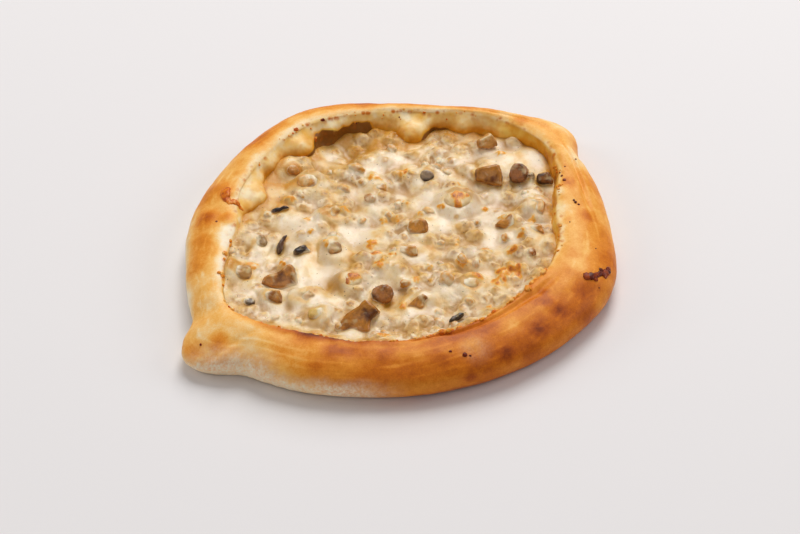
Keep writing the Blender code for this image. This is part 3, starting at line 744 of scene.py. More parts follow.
def cheeseBase(x, y):                        # relief without the lumps in it
    seed = cheeseLook["seed"]
    flat = np.stack([x, y, 0 * x], -1)
    height = cheeseLook["level"] + fillingWave(x, y)
    for cx, cy, radius, rise in (cheeseLook["heap"], cheeseLook["hollow"], *cheeseLook["mounds"]):
        height += rise * bump(np.hypot(x - cx, y - cy) / radius)
    pool = poolWeight(x, y)
    busy = 1.0 - 0.85 * pool
    height += 2.8 * noiseAt(flat, 17.0, seed + 12)
    height += busy * (1.20 * noiseAt(flat, 8.0, seed + 8) + 0.16 * noiseAt(flat, 3.6, seed + 10)
                      + 0.06 * noiseAt(flat, 1.9, seed + 9))
    return height, pool


def wallClimb(angles):
    return cheeseLook["climb"] * window(angles, 136.0, 298.0, 14.0)


def buildFillingGrid(crustPoints):
    wall = crustPoints[loft["lipRow"] * loft["rowSteps"]:loft["footRow"] * loft["rowSteps"] + 1]
    wallReach = np.linalg.norm(wall[..., :2], axis=-1)
    count = wall.shape[1]
    levels = cheeseLook["edge"] + wallClimb(np.arange(count) * 360.0 / count)
    edges = np.array([np.interp(-levels[j], -wall[:, j, 2], wallReach[:, j]) for j in range(count)])
    edges = np.append(edges, edges[0]) + cheeseLook["tuck"]
    turns = np.arange(len(edges)) / (len(edges) - 1) * math.tau

    def edgeAt(turn):
        return np.interp(np.mod(turn, math.tau), turns, edges)

    line = np.linspace(-1.0, 1.0, cheeseLook["gridSize"])
    u, v = np.meshgrid(line, line)
    x = u * np.sqrt(1.0 - 0.5 * v * v)       # an even square grid pressed into a round
    y = v * np.sqrt(1.0 - 0.5 * u * u)
    share = np.hypot(x, y)
    turn = np.arctan2(y, x)
    reach = share * edgeAt(turn)
    return reach * np.cos(turn), reach * np.sin(turn), np.minimum(share, 1.0), edgeAt


def coveredSide(item):                       # middle of a piece, and the side that cheese covers
    corners = [Vector(corner) / mm for corner in item.bound_box]
    middle = sum(corners, Vector()) / 8.0
    turn = math.radians(camera["heading"] + random.Random(item.name).uniform(-95.0, 95.0))
    middle = Vector((middle.x - loft["centre"][0], middle.y - loft["centre"][1]))
    return middle, Vector((math.cos(turn), math.sin(turn)))


def pieceGap(x, y, height):                  # distance to the nearest cut piece, rise of cheese there
    tree = KDTree(sum(len(item.data.vertices) for item in cutPieces))
    squash = pieceLook["squash"]
    owners = []
    tops = []
    for number, item in enumerate(cutPieces):
        tops.append(max(vertex.co.z for vertex in item.data.vertices) / mm)
        for vertex in item.data.vertices:
            spot = vertex.co / mm
            tree.insert((spot.x - loft["centre"][0], spot.y - loft["centre"][1], squash * spot.z),
                        len(owners))
            owners.append(number)
    tree.balance()
    shares = [pieceLook["bury"][item.name.split("_")[0]] for item in cutPieces]
    sides = [coveredSide(item) for item in cutPieces]
    bare = [item.name.removesuffix("_cooked") in pieceLook["bare"] for item in cutPieces]
    flatX, flatY, flatZ = x.ravel(), y.ravel(), height.ravel()
    gaps = np.full(len(flatX), pieceLook["farGap"])
    rise = np.zeros(len(flatX))
    near = np.zeros(len(flatX), bool)
    for px, py, half in pieceBoxes():
        near |= np.hypot(flatX - px, flatY - py) < 1.6 * half + 5.0
    for i in np.nonzero(near)[0]:
        _, found, gaps[i] = tree.find((flatX[i], flatY[i], squash * (flatZ[i] + 1.0)))
        owner = owners[found]
        middle, toward = sides[owner]
        offset = Vector((flatX[i], flatY[i])) - middle
        facing = 0.5 + 0.5 * offset.dot(toward) / max(offset.length, 1e-3)
        share = shares[owner] + pieceLook["heapedSide"][bare[owner]] * facing ** 2
        rise[i] = min(share, 0.95) * max(tops[owner] - flatZ[i], 0.0)
        if bare[owner]:
            rise[i] -= pieceLook["freed"] * (1.0 - facing)
    return gaps.reshape(x.shape), rise.reshape(x.shape)


def lumpRelief(x, y, warped, wobble, dice):  # cheese heaped on the dice, and where they tint it
    meat = np.zeros_like(x)
    heaped = np.zeros_like(x)
    for px, py, size, tone, shown, turn in dice:
        reach = 0.55 * size + 2.3
        zone = (np.abs(x - px) < 1.7 * reach) & (np.abs(y - py) < 1.7 * reach)
        dx, dy = warped[0][zone] - px, warped[1][zone] - py
        along = np.abs(dx * math.cos(turn) + dy * math.sin(turn))
        across = np.abs(dy * math.cos(turn) - dx * math.sin(turn))
        near = (along ** 2.6 + across ** 2.6) ** (1 / 2.6) / (reach * (1.0 + 0.28 * wobble[zone]))
        dome = bump(near)
        heaped[zone] += ((0.50 - 0.14 * max(shown, 0.0)) * size * dome) ** 3
        if shown < 0.7:                      # thinly coated: the meat tints the cheese
            thin = smoothStep(dome + 0.40 * wobble[zone], 0.42, 0.88)
            meat[zone] = np.maximum(meat[zone], (0.38 + 0.8 * tone) * thin)
    return heaped ** (1 / 3), meat


def toastRelief(x, y, warped, wobble):       # a golden halo, then a few round blisters in it
    brown = np.zeros_like(x)
    crests = np.zeros_like(x)
    draw = random.Random(cheeseLook["seed"])
    for px, py, size, tone in cheeseLook["toasted"]:
        for number in range(6):
            away, turn = (draw.uniform(0.35, 0.95) * size * min(number, 1), draw.uniform(0.0, math.tau))
            cx, cy = px + away * math.cos(turn), py + away * math.sin(turn)
            wide = size * (1.60 if number == 0 else draw.uniform(0.45, 0.80))
            zone = (np.abs(x - cx) < 2 * wide) & (np.abs(y - cy) < 2 * wide)
            away = np.hypot(warped[0][zone] - cx, warped[1][zone] - cy)
            near = away / (wide * (1.0 + 0.20 * wobble[zone]))
            crests[zone] = np.maximum(crests[zone], bump(0.9 * near) * (0.5 + 0.30 * wide))
            amount = tone * (0.36 if number == 0 else draw.uniform(0.75, 1.05))
            brown[zone] = np.maximum(brown[zone], amount * smoothStep(1.0 - near, -0.40, 0.70))
    return crests, brown


def strandRelief(x, y, flat):                # fine ridges where the cheese is drawn out
    seed = cheeseLook["seed"]
    strand = np.zeros_like(x)
    for px, py, radius in cheeseLook["strands"]:
        strand = np.maximum(strand, bump(np.hypot(x - px, y - py) / radius))
    drawn = np.stack([x / 2.1 + 0.5 * noiseAt(flat, 14.0, seed + 20), y / 17.0, 0 * x], -1)
    return 0.45 * strand * noiseAt(drawn, 1.0, seed + 22)


def shapeFilling(x, y, share, dice):
    seed = cheeseLook["seed"]
    flat = np.stack([x, y, 0 * x], -1)
    height, pool = cheeseBase(x, y)
    wobble = noiseAt(flat, 3.4, seed + 4) + 0.5 * noiseAt(flat, 1.7, seed + 5)
    warped = (x + 1.9 * noiseAt(flat, 5.2, seed + 26) + 0.5 * noiseAt(flat, 2.1, seed + 27),
              y + 1.9 * noiseAt(flat, 5.2, seed + 28) + 0.5 * noiseAt(flat, 2.1, seed + 29))
    heaps, meat = lumpRelief(x, y, warped, wobble, dice)
    crests, brown = toastRelief(x, y, warped, wobble)
    height += heaps
    height += strandRelief(x, y, flat)
    calm = blurred(height, 10)
    height += (0.8 * pool) * (calm - height)
    # dips: how far the cheese lies below its surroundings, painted as shade below
    dips = 0.3 * blurred(height, 6) + 0.7 * blurred(height, 60) - height
    gap, rise = pieceGap(x, y, height)
    gap += 1.2 * noiseAt(flat, 5.0, seed + 24)
    height += rise * bump(np.maximum(gap, 0.0) / 8.5)
    height += 0.4 * (blurred(height, 3) - height) + crests
    # the cheese climbs the wall, most at the left and front, and stays tucked in under it
    turn = np.degrees(np.arctan2(y, x)) % 360.0
    height += (1.0 + wallClimb(turn)) * smoothStep(share, 0.90, 0.99)
    oil = 0.34 + 0.85 * noiseAt(flat, 12.0, seed + 14) + 0.35 * noiseAt(flat, 5.0, seed + 16)
    oil += 0.40 * bump(gap / 2.4) - 0.25 * pool + 0.35 * smoothStep(share, 0.93, 0.99)
    # painted shade of the back wall over the back of the filling, carried in the oil tint
    oil += 0.42 * smoothStep(share, 0.55, 0.92) * window(turn, 30.0, 140.0, 20.0)
    meat *= 0.9 + 0.5 * noiseAt(flat, 3.0, seed + 18)
    return height, {"meat": np.clip(meat, 0, 1), "brown": np.clip(brown, 0, 1),
                    "oil": np.clip(oil, 0, 1), "pool": pool,
                    "hollow": np.clip(0.5 + 0.70 * dips, 0, 1)}


def blurred(height, reach):                  # evened out over a few cells
    wide = height.copy()
    for _ in range(reach):
        padded = np.pad(wide, 1, mode="edge")
        wide = 0.25 * (padded[2:, 1:-1] + padded[:-2, 1:-1] + padded[1:-1, 2:] + padded[1:-1, :-2])
    return wide


def sheetHeight(x, y, sheet):                # height of the cheese below or above any place
    edgeAt, height = sheet
    turn = np.arctan2(y, x)
    share = np.minimum(np.hypot(x, y) / edgeAt(turn), 1.0)
    a, b = share * np.cos(turn), share * np.sin(turn)
    skew, root = a * a - b * b, math.sqrt(8.0)
    u = 0.5 * (np.sqrt(np.clip(2.0 + skew + root * a, 0.0, None))
               - np.sqrt(np.clip(2.0 + skew - root * a, 0.0, None)))
    v = 0.5 * (np.sqrt(np.clip(2.0 - skew + root * b, 0.0, None))
               - np.sqrt(np.clip(2.0 - skew - root * b, 0.0, None)))
    last = height.shape[0] - 1
    row = np.clip(np.rint((v + 1.0) * 0.5 * last), 0, last).astype(int)
    column = np.clip(np.rint((u + 1.0) * 0.5 * last), 0, last).astype(int)
    return height[row, column]


def lapWithCheese(item, sheet, reach, evenly=False):     # the cheese creeps up what stands in it
    mesh = item.data
    points = np.empty(3 * len(mesh.vertices))
    mesh.vertices.foreach_get("co", points)
    points = points.reshape(-1, 3) / mm
    level = sheetHeight(points[:, 0] - loft["centre"][0], points[:, 1] - loft["centre"][1], sheet)
    above = points[:, 2] - level + 0.45 * reach * noiseAt(points, 3.4, 61.0)
    if not evenly:
        middle, toward = coveredSide(item)
        offset = points[:, :2] - np.array(loft["centre"]) - np.array(middle)
        facing = offset @ np.array(toward) / np.linalg.norm(offset, axis=1).max()
        above -= 0.9 * reach * facing
    addLayer(mesh, "lapped", 1.0 - smoothStep(above, 0.1, reach))


def meltedCheeseMaterial():
    # young brined cheese melted over diced chicken: moist, cream white, yellow oil, toasted crests
    material, tree = newMaterial("meltedCheese")
    place = addNode(tree, "ShaderNodeTexCoord").outputs["Object"]
    meat, brown, oil, hollow, pool = [
        addNode(tree, "ShaderNodeAttribute", {"attribute_name": key}).outputs["Fac"]
        for key in ("meat", "brown", "oil", "hollow", "pool")]
    # 3 mm curds and 0.7 mm shreds
    curd = addNode(tree, "ShaderNodeTexNoise", values={"Scale": 330.0, "Detail": 4.0, "Roughness": 0.6},
                   links={"Vector": place}).outputs["Fac"]
    fine = addNode(tree, "ShaderNodeTexNoise", values={"Scale": 1400.0, "Detail": 2.0},
                   links={"Vector": place}).outputs["Fac"]
    tint = addNode(tree, "ShaderNodeMath", {"operation": "MULTIPLY_ADD"}, {1: 0.4},
                   {0: curd, 2: oil}).outputs[0]
    tint = addNode(tree, "ShaderNodeMath", {"operation": "SUBTRACT"}, {1: 0.2}, {0: tint}).outputs[0]
    cream = addNode(tree, "ShaderNodeValToRGB", links={"Fac": tint}, stops=[
        (0.0, "#f1dcbc"), (0.38, "#eed2a2"), (0.68, "#e8be78"), (1.0, "#d49538")]).outputs["Color"]
    # 1.4 mm crumbs of curd, yellower
    crumb = addNode(tree, "ShaderNodeTexNoise", values={"Scale": 720.0, "Detail": 3.0, "Roughness": 0.7},
                    links={"Vector": place}).outputs["Fac"]
    flecks = addNode(tree, "ShaderNodeMapRange", values={"From Min": 0.44, "From Max": 0.30,
                     "To Max": 0.50}, links={"Value": crumb}).outputs[0]
    cream = addNode(tree, "ShaderNodeMix", {"data_type": "RGBA"}, {7: "#dcae5e"},
                    {0: flecks, 6: cream}).outputs[2]
    # ground pepper, 0.5 to 1 mm
    pepper = addNode(tree, "ShaderNodeTexVoronoi", values={"Scale": 260.0, "Randomness": 1.0},
                     links={"Vector": place}).outputs["Distance"]
    pepper = addNode(tree, "ShaderNodeMapRange", values={"From Min": 0.13, "From Max": 0.07,
                     "To Max": 0.65}, links={"Value": pepper}).outputs[0]
    # painted shade: the dips of the relief turn darker and golden
    dipShade = addNode(tree, "ShaderNodeMapRange", values={"From Min": 0.54, "From Max": 0.96,
                  "To Min": 0.0, "To Max": 0.74}, links={"Value": hollow}).outputs[0]
    cream = addNode(tree, "ShaderNodeMix", {"data_type": "RGBA"}, {7: "#b47a12"},
                    {0: dipShade, 6: cream}).outputs[2]
    flesh = addNode(tree, "ShaderNodeValToRGB", links={"Fac": curd}, stops=[
        (0.32, "#8c5206"), (0.48, "#c48416"), (0.64, "#e9ba5e")]).outputs["Color"]
    colour = addNode(tree, "ShaderNodeMix", {"data_type": "RGBA"},
                     links={0: meat, 6: cream, 7: flesh}).outputs[2]
    spots = addNode(tree, "ShaderNodeMapRange", values={"From Min": 0.38, "From Max": 0.62,
                    "To Min": -0.16, "To Max": 0.16}, links={"Value": curd}).outputs[0]
    bake = addNode(tree, "ShaderNodeMath", {"operation": "ADD"}, links={0: brown, 1: spots}).outputs[0]
    crisp = addNode(tree, "ShaderNodeValToRGB", links={"Fac": bake}, stops=[
        (0.0, "#f0d8a2"), (0.26, "#f2c670"), (0.52, "#eca632"), (0.78, "#e0881a"),
        (1.0, "#b25c0c")]).outputs["Color"]
    shown = addNode(tree, "ShaderNodeMapRange", values={"From Min": 0.04, "From Max": 0.50},
                    links={"Value": bake}).outputs[0]
    gate = addNode(tree, "ShaderNodeMapRange", values={"From Min": 0.02, "From Max": 0.2},
                   links={"Value": brown}).outputs[0]
    shown = addNode(tree, "ShaderNodeMath", {"operation": "MULTIPLY"}, links={0: shown, 1: gate}).outputs[0]
    colour = addNode(tree, "ShaderNodeMix", {"data_type": "RGBA"},
                     links={0: shown, 6: colour, 7: crisp}).outputs[2]
    colour = addNode(tree, "ShaderNodeMix", {"data_type": "RGBA"}, {7: "#5e3f22"},
                     {0: pepper, 6: colour}).outputs[2]
    height = addNode(tree, "ShaderNodeMath", {"operation": "MULTIPLY_ADD"}, {1: 0.55},
                     {0: fine, 2: curd}).outputs[0]
    calm = addNode(tree, "ShaderNodeMapRange", values={"From Min": 0.0, "From Max": 1.0,
                   "To Min": 0.46, "To Max": 0.20}, links={"Value": pool}).outputs[0]
    relief = addNode(tree, "ShaderNodeBump", values={"Distance": 0.0013},
                     links={"Height": height, "Strength": calm}).outputs["Normal"]
    rough = addNode(tree, "ShaderNodeMapRange", values={"From Min": 0.0, "From Max": 1.0,
                    "To Min": 0.28, "To Max": 0.27}, links={"Value": pool}).outputs[0]
    shader = addNode(tree, "ShaderNodeBsdfPrincipled", values={
        "Subsurface Weight": 0.25, "Subsurface Radius": (0.0045, 0.0032, 0.0014),
        "Subsurface Scale": 1.0, "Specular IOR Level": 0.46},
        links={"Base Color": colour, "Roughness": rough, "Normal": relief})
    addNode(tree, "ShaderNodeOutputMaterial", links={"Surface": shader.outputs[0]})
    return material


def makeFilling(crustPoints):
    x, y, share, edgeAt = buildFillingGrid(crustPoints)
    dice = scatterDice(edgeAt)
    height, attributes = shapeFilling(x, y, share, dice)
    size = x.shape[0]
    top = np.stack([x, y, height], -1).reshape(-1, 3)
    number = np.arange(size * size).reshape(size, size)
    rim = np.concatenate([number[0, :-1], number[:-1, -1], number[-1, :0:-1], number[:0:-1, 0]])
    raised, inset = cheeseLook["skirt"]
    floor = crustPoints[-1, 0, 2] + raised
    side = top[rim].copy()
    side[:, :2] *= 1.0 - inset / np.linalg.norm(side[:, :2], axis=1, keepdims=True)
    side[:, 2] = floor
    cloud = np.concatenate([top, side, [[0.0, 0.0, floor]]])
    cloud[:, 0] += loft["centre"][0]
    cloud[:, 1] += loft["centre"][1]
    sideStart = len(top)
    quads = np.stack([number[:-1, :-1], number[:-1, 1:], number[1:, 1:], number[1:, :-1]], -1)
    here = np.arange(len(rim))
    there = (here + 1) % len(rim)
    skirt = np.stack([rim[here], sideStart + here, sideStart + there, rim[there]], -1)
    faces = [quads.reshape(-1, 4), skirt,
             fanFaces(sideStart, len(rim), sideStart + len(rim), True)]
    padded = {key: np.append(values.ravel(), np.zeros(len(rim) + 1))
              for key, values in attributes.items()}
    item = meshObject("meltedCheese", cloud, faces, cheeseSkin, padded)
    finishPiece(item, "melted_cheese", "filling")
    print("cheese:", len(item.data.polygons), "faces,", len(dice), "lumps")
    return dice, (edgeAt, height)


# Cut pieces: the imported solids, softened and given their cooked surface

pieceLook = {
    "levels": 2,                            # subdivision
    "bury": {"mushroom": 0.10, "chicken": 0.42, "cheese": 0.50},   # share of its rise in cheese
    "lap": {"mushroom": 1.4, "chicken": 2.2, "cheese": 1.6},       # height the cheese creeps up
    "heapedSide": (0.65, 0.10),             # more of it on one side: most pieces, bare ones
    "bare": ("mushroom_block_heaped", "mushroom_stem_heaped", "mushroom_dark_heaped",
             "mushroom_wedge_large", "mushroom_slice_large", "mushroom_cap_piece",
             "mushroom_strip_black", "mushroom_crescent", "mushroom_bit_black",
             "mushroom_flake_front", "mushroom_slice_upright"),
    "freed": 1.6,                           # the cheese lies lower in front of the bare ones
    "farGap": 9.0,                          # distance given where no piece is near
    "squash": 0.4,                          # heights count less in that distance
    "keepEdges": 0.80,                      # 0 fully rounded, 1 as cut
    "wobble": (5.5, 0.95, 2.2, 0.38),       # size and height of two waves of relief
}

# flesh, skin, share of skin, share of cheese coat: cooked pieces by kind, then the odd ones
pieceTones = {
    "mushroom": ("#ca8838", "#7c440c", 0.40, 0.16),
    "chicken": ("#e2a658", "#b8721e", 0.45, 0.28),
    "mushroom_block_heaped": ("#bc7c2a", "#70380a", 0.26, 0.06),
    "mushroom_stem_heaped": ("#a4683a", "#4e2a12", 0.50, 0.10),
    "mushroom_dark_heaped": ("#8c5828", "#44240c", 0.60, 0.06),
    "mushroom_strip_black": ("#5a3826", "#2a1a14", 0.70, 0.0),
    "mushroom_crescent": ("#5a3a24", "#302014", 0.62, 0.0),
    "mushroom_bit_grey": ("#947c62", "#443834", 0.50, 0.15),
    "mushroom_bit_rim": ("#957a56", "#52402c", 0.50, 0.15),
    "mushroom_rounded_bit": ("#b08a58", "#5c3e22", 0.34, 0.20),
    "mushroom_bit_black": ("#6d5032", "#2f2420", 0.60, 0.10),
    "mushroom_flake_front": ("#6e5844", "#34261c", 0.66, 0.0),
    "mushroom_slice_upright": ("#c98f48", "#ab7030", 0.30, 0.20),
    "mushroom_slice_tan": ("#c2904f", "#8a5c2e", 0.30, 0.15),
    "mushroom_slice_large": ("#c28038", "#6e3c12", 0.42, 0.08),
    "mushroom_wedge_large": ("#bc7a2c", "#64340c", 0.42, 0.06),
    "mushroom_cap_piece": ("#ae7038", "#5c3418", 0.45, 0.08),
    "chicken_piece_brown": ("#bf8b50", "#85562a", 0.50, 0.25),
    "chicken_cube_yellow": ("#e2bb66", "#c08c3a", 0.25, 0.20),
}


def cookedPieceMaterial(name, tones):
    # cooked in its own juice: moist, darker skin and gills, paler cut flesh, cheese on top
    flesh, skin, amount, coat = tones
    material, tree = newMaterial(name)
    place = addNode(tree, "ShaderNodeTexCoord").outputs["Object"]
    upward = addNode(tree, "ShaderNodeAttribute", {"attribute_name": "upward"}).outputs["Fac"]
    # 8 mm patches and 1.4 mm fibres, skin along the ridges
    patch = addNode(tree, "ShaderNodeTexNoise", values={"Scale": 120.0, "Detail": 3.0, "Roughness": 0.5},
                    links={"Vector": place}).outputs["Fac"]
    fibre = addNode(tree, "ShaderNodeTexNoise", values={"Scale": 700.0, "Detail": 3.0, "Roughness": 0.6},
                    links={"Vector": place}).outputs["Fac"]
    share = addNode(tree, "ShaderNodeMapRange", values={"From Min": 0.38, "From Max": 0.62,
                    "To Min": amount - 0.7, "To Max": amount + 0.7}, links={"Value": patch}).outputs[0]
    # painted shade: lower faces take the darker skin colour, upper faces the paler flesh
    share = addNode(tree, "ShaderNodeMath", {"operation": "MULTIPLY_ADD", "use_clamp": True}, {1: -0.42},
                    {0: upward, 2: share}).outputs[0]
    ridge = addNode(tree, "ShaderNodeAttribute", {"attribute_name": "ridge"}).outputs["Fac"]
    ridge = addNode(tree, "ShaderNodeMath", {"operation": "MULTIPLY"}, {1: 0.75}, {0: ridge}).outputs[0]
    ridge = addNode(tree, "ShaderNodeMath", {"operation": "MULTIPLY"}, links={0: ridge, 1: fibre}).outputs[0]
    share = addNode(tree, "ShaderNodeMath", {"operation": "ADD", "use_clamp": True},
                    links={0: share, 1: ridge}).outputs[0]
    colour = addNode(tree, "ShaderNodeMix", {"data_type": "RGBA"}, {6: flesh, 7: skin},
                     {0: share}).outputs[2]
    light = addNode(tree, "ShaderNodeMapRange", values={"From Min": 0.3, "From Max": 0.7,
                    "To Min": 0.80, "To Max": 1.16}, links={"Value": fibre}).outputs[0]
    colour = addNode(tree, "ShaderNodeHueSaturation", links={"Color": colour, "Value": light}).outputs[0]
    # a thin coat of cheese lies on the upper faces in 6 mm patches
    cover = addNode(tree, "ShaderNodeTexNoise", values={"Scale": 170.0, "Detail": 2.0},
                    links={"Vector": place}).outputs["Fac"]
    cover = addNode(tree, "ShaderNodeMath", {"operation": "MULTIPLY_ADD"}, {1: 0.14},
                    {0: upward, 2: cover}).outputs[0]
    cover = addNode(tree, "ShaderNodeMapRange", values={"From Min": 0.72 - 0.5 * coat,
                    "From Max": 0.90 - 0.5 * coat, "To Max": 0.75}, links={"Value": cover}).outputs[0]
    colour = addNode(tree, "ShaderNodeMix", {"data_type": "RGBA"}, {7: "#e2c996"},
                     {0: cover, 6: colour}).outputs[2]
    lapped = addNode(tree, "ShaderNodeAttribute", {"attribute_name": "lapped"}).outputs["Fac"]
    colour = addNode(tree, "ShaderNodeMix", {"data_type": "RGBA"}, {7: "#efdcb8"},
                     {0: lapped, 6: colour}).outputs[2]
    height = addNode(tree, "ShaderNodeMath", {"operation": "MULTIPLY_ADD"}, {1: 0.4},
                     {0: fibre, 2: patch}).outputs[0]
    relief = addNode(tree, "ShaderNodeBump", values={"Strength": 0.45, "Distance": 0.0014},
                     links={"Height": height}).outputs["Normal"]
    rough = addNode(tree, "ShaderNodeMapRange", values={"From Min": 0.3, "From Max": 0.7,
                    "To Min": 0.14, "To Max": 0.28}, links={"Value": patch}).outputs[0]
    shader = addNode(tree, "ShaderNodeBsdfPrincipled", values={
        "Subsurface Weight": 0.12, "Subsurface Radius": (0.004, 0.002, 0.0007),
        "Subsurface Scale": 1.0, "Specular IOR Level": 0.40},
        links={"Base Color": colour, "Roughness": rough, "Normal": relief})
    addNode(tree, "ShaderNodeOutputMaterial", links={"Surface": shader.outputs[0]})
    return material


def pieceCopy(node, kind):
    mesh = mergedCopy(node)
    bmesh.ops.recalc_face_normals(mesh, faces=mesh.faces[:])
    data = bpy.data.meshes.new(node)
    mesh.to_mesh(data)
    mesh.free()
    item = bpy.data.objects.new(node + "_cooked", data)
    bpy.context.scene.collection.objects.link(item)
    smooth = item.modifiers.new("smooth", "SUBSURF")
    smooth.subdivision_type = kind
    smooth.levels = pieceLook["levels"]
    smooth.render_levels = pieceLook["levels"]
    return item


def roughen(node, mesh, sharp):
    count = len(mesh.vertices)
    points = np.empty(3 * count)
    flat = np.empty(3 * count)
    mesh.vertices.foreach_get("co", points)
    sharp.vertices.foreach_get("co", flat)
    ridge = np.linalg.norm((flat - points).reshape(-1, 3), axis=1) / mm
    points += pieceLook["keepEdges"] * (flat - points)
    mesh.vertices.foreach_set("co", points)
    mesh.update()
    normals = np.empty(3 * count)
    mesh.vertices.foreach_get("normal", normals)
    points = points.reshape(-1, 3) / mm
    normals = normals.reshape(-1, 3)
    size, rise, fineSize, fineRise = pieceLook["wobble"]
    push = rise * noiseAt(points, size, 3.0) + fineRise * noiseAt(points, fineSize, 7.0)
    toasted = np.zeros(count)
    if node.startswith("cheese"):            # round toasted blisters on top
        draw = random.Random(node)
        reach = 0.32 * np.ptp(points[:, 0])
        for _ in range(6):
            shift = (draw.uniform(-reach, reach), draw.uniform(-reach, reach))
            spot = points.mean(axis=0)[:2] + np.array(shift)
            away = np.linalg.norm(points[:, :2] - spot, axis=1) / draw.uniform(1.6, 2.9)
            toasted = np.maximum(toasted, smoothStep(1.0 - away + 0.3 * push, -0.35, 0.55))
        toasted *= smoothStep(normals[:, 2], 0.1, 0.5)
        push = 0.6 * push + 0.7 * toasted
    points += normals * push[:, None]
    mesh.vertices.foreach_set("co", (points * mm).ravel())
    addLayer(mesh, "upward", np.clip(normals[:, 2], -1.0, 1.0))
    addLayer(mesh, "ridge", smoothStep(ridge, 0.4, 1.5))
    if node.startswith("cheese"):
        addLayer(mesh, "brown", 0.90 * toasted)
        addLayer(mesh, "oil", np.full(count, 0.45))
    mesh.shade_smooth()


def makePieces():
    slots = {"mushroom": "mushroom", "chicken": "chicken", "cheese": "toasted_cheese"}
    nodes = [node for node in sorted(frame["nodes"]) if node.split("_")[0] in slots]
    rounded = [pieceCopy(node, "CATMULL_CLARK") for node in nodes]
    sharp = [pieceCopy(node, "SIMPLE") for node in nodes]
    bpy.context.view_layer.update()
    graph = bpy.context.evaluated_depsgraph_get()
    meshes = [bpy.data.meshes.new_from_object(item.evaluated_get(graph)) for item in rounded]
    guides = [bpy.data.meshes.new_from_object(item.evaluated_get(graph)) for item in sharp]
    materials = {}
    for node, item, mesh, guide, spare in zip(nodes, rounded, meshes, guides, sharp):
        item.modifiers.clear()
        item.data = mesh
        roughen(node, mesh, guide)
        kind = node.split("_")[0]
        key = node if node in pieceTones else kind
        if key == "cheese":
            materials[key] = cheeseSkin
        elif key not in materials:
            materials[key] = cookedPieceMaterial("cooked_" + key, pieceTones[key])
        mesh.materials.clear()
        mesh.materials.append(materials[key])
        bpy.data.objects.remove(spare)
        bpy.data.meshes.remove(guide)
        finishPiece(item, slots[kind], node)
    print("cut pieces:", len(rounded))
    return rounded


# Small lumps: dice, crumbs and beads, grown from points by Geometry Nodes

lumpLook = {
    "unevenness": 0.55,                     # share of a lump's size
    "grain": 1.9,                           # waves across a lump
    "detail": 3,
    "seed": 5,
}


def lumpTree(name, material):
    tree = bpy.data.node_groups.new(name, "GeometryNodeTree")
    tree.interface.new_socket("Points", in_out="INPUT", socket_type="NodeSocketGeometry")
    for label in ("Unevenness", "Grain"):
        tree.interface.new_socket(label, in_out="INPUT", socket_type="NodeSocketFloat")
    for label in ("Detail", "Seed"):
        tree.interface.new_socket(label, in_out="INPUT", socket_type="NodeSocketInt")
    tree.interface.new_socket("Lumps", in_out="OUTPUT", socket_type="NodeSocketGeometry")
    given = addNode(tree, "NodeGroupInput").outputs
    body = addNode(tree, "GeometryNodeMeshIcoSphere", values={"Radius": 0.5},
                   links={"Subdivisions": given["Detail"]}).outputs["Mesh"]
    variants = addNode(tree, "GeometryNodeJoinGeometry")
    spot = addNode(tree, "GeometryNodeInputPosition").outputs[0]
    for number in range(4):                  # four different lumps to pick from
        shifted = addNode(tree, "ShaderNodeVectorMath", {"operation": "ADD"},
                          {1: (7.3 * number, 3.1 * number, 1.7)}, {0: spot}).outputs[0]
        wave = addNode(tree, "ShaderNodeTexNoise", values={"Detail": 2.0},
                       links={"Vector": shifted, "Scale": given["Grain"]}).outputs["Color"]
        wave = addNode(tree, "ShaderNodeVectorMath", {"operation": "SUBTRACT"},
                       {1: (0.5, 0.5, 0.5)}, {0: wave}).outputs[0]
        wave = addNode(tree, "ShaderNodeVectorMath", {"operation": "SCALE"},
                       links={0: wave, "Scale": given["Unevenness"]}).outputs[0]
        moved = addNode(tree, "GeometryNodeSetPosition", links={"Geometry": body, "Offset": wave})
        single = addNode(tree, "GeometryNodeGeometryToInstance", links={"Geometry": moved.outputs[0]})
        tree.links.new(single.outputs[0], variants.inputs[0])
    pick = addNode(tree, "FunctionNodeRandomValue", {"data_type": "INT"}, {4: 0, 5: 3},
                   {"Seed": given["Seed"]}).outputs[2]
    turn = addNode(tree, "GeometryNodeInputNamedAttribute", {"data_type": "FLOAT_VECTOR"},
                   {"Name": "turn"}).outputs[0]
    size = addNode(tree, "GeometryNodeInputNamedAttribute", {"data_type": "FLOAT_VECTOR"},
                   {"Name": "size"}).outputs[0]
    lumps = addNode(tree, "GeometryNodeInstanceOnPoints", values={"Pick Instance": True},
                    links={"Points": given["Points"], "Instance": variants.outputs[0],
                           "Instance Index": pick, "Rotation": turn, "Scale": size}).outputs[0]
    lumps = addNode(tree, "GeometryNodeRealizeInstances", links={"Geometry": lumps}).outputs[0]
    lumps = addNode(tree, "GeometryNodeSetShadeSmooth", links={"Geometry": lumps}).outputs[0]
    lumps = addNode(tree, "GeometryNodeSetMaterial", values={"Material": material},
                    links={"Geometry": lumps}).outputs[0]
    addNode(tree, "NodeGroupOutput", links={"Lumps": lumps})
    return tree


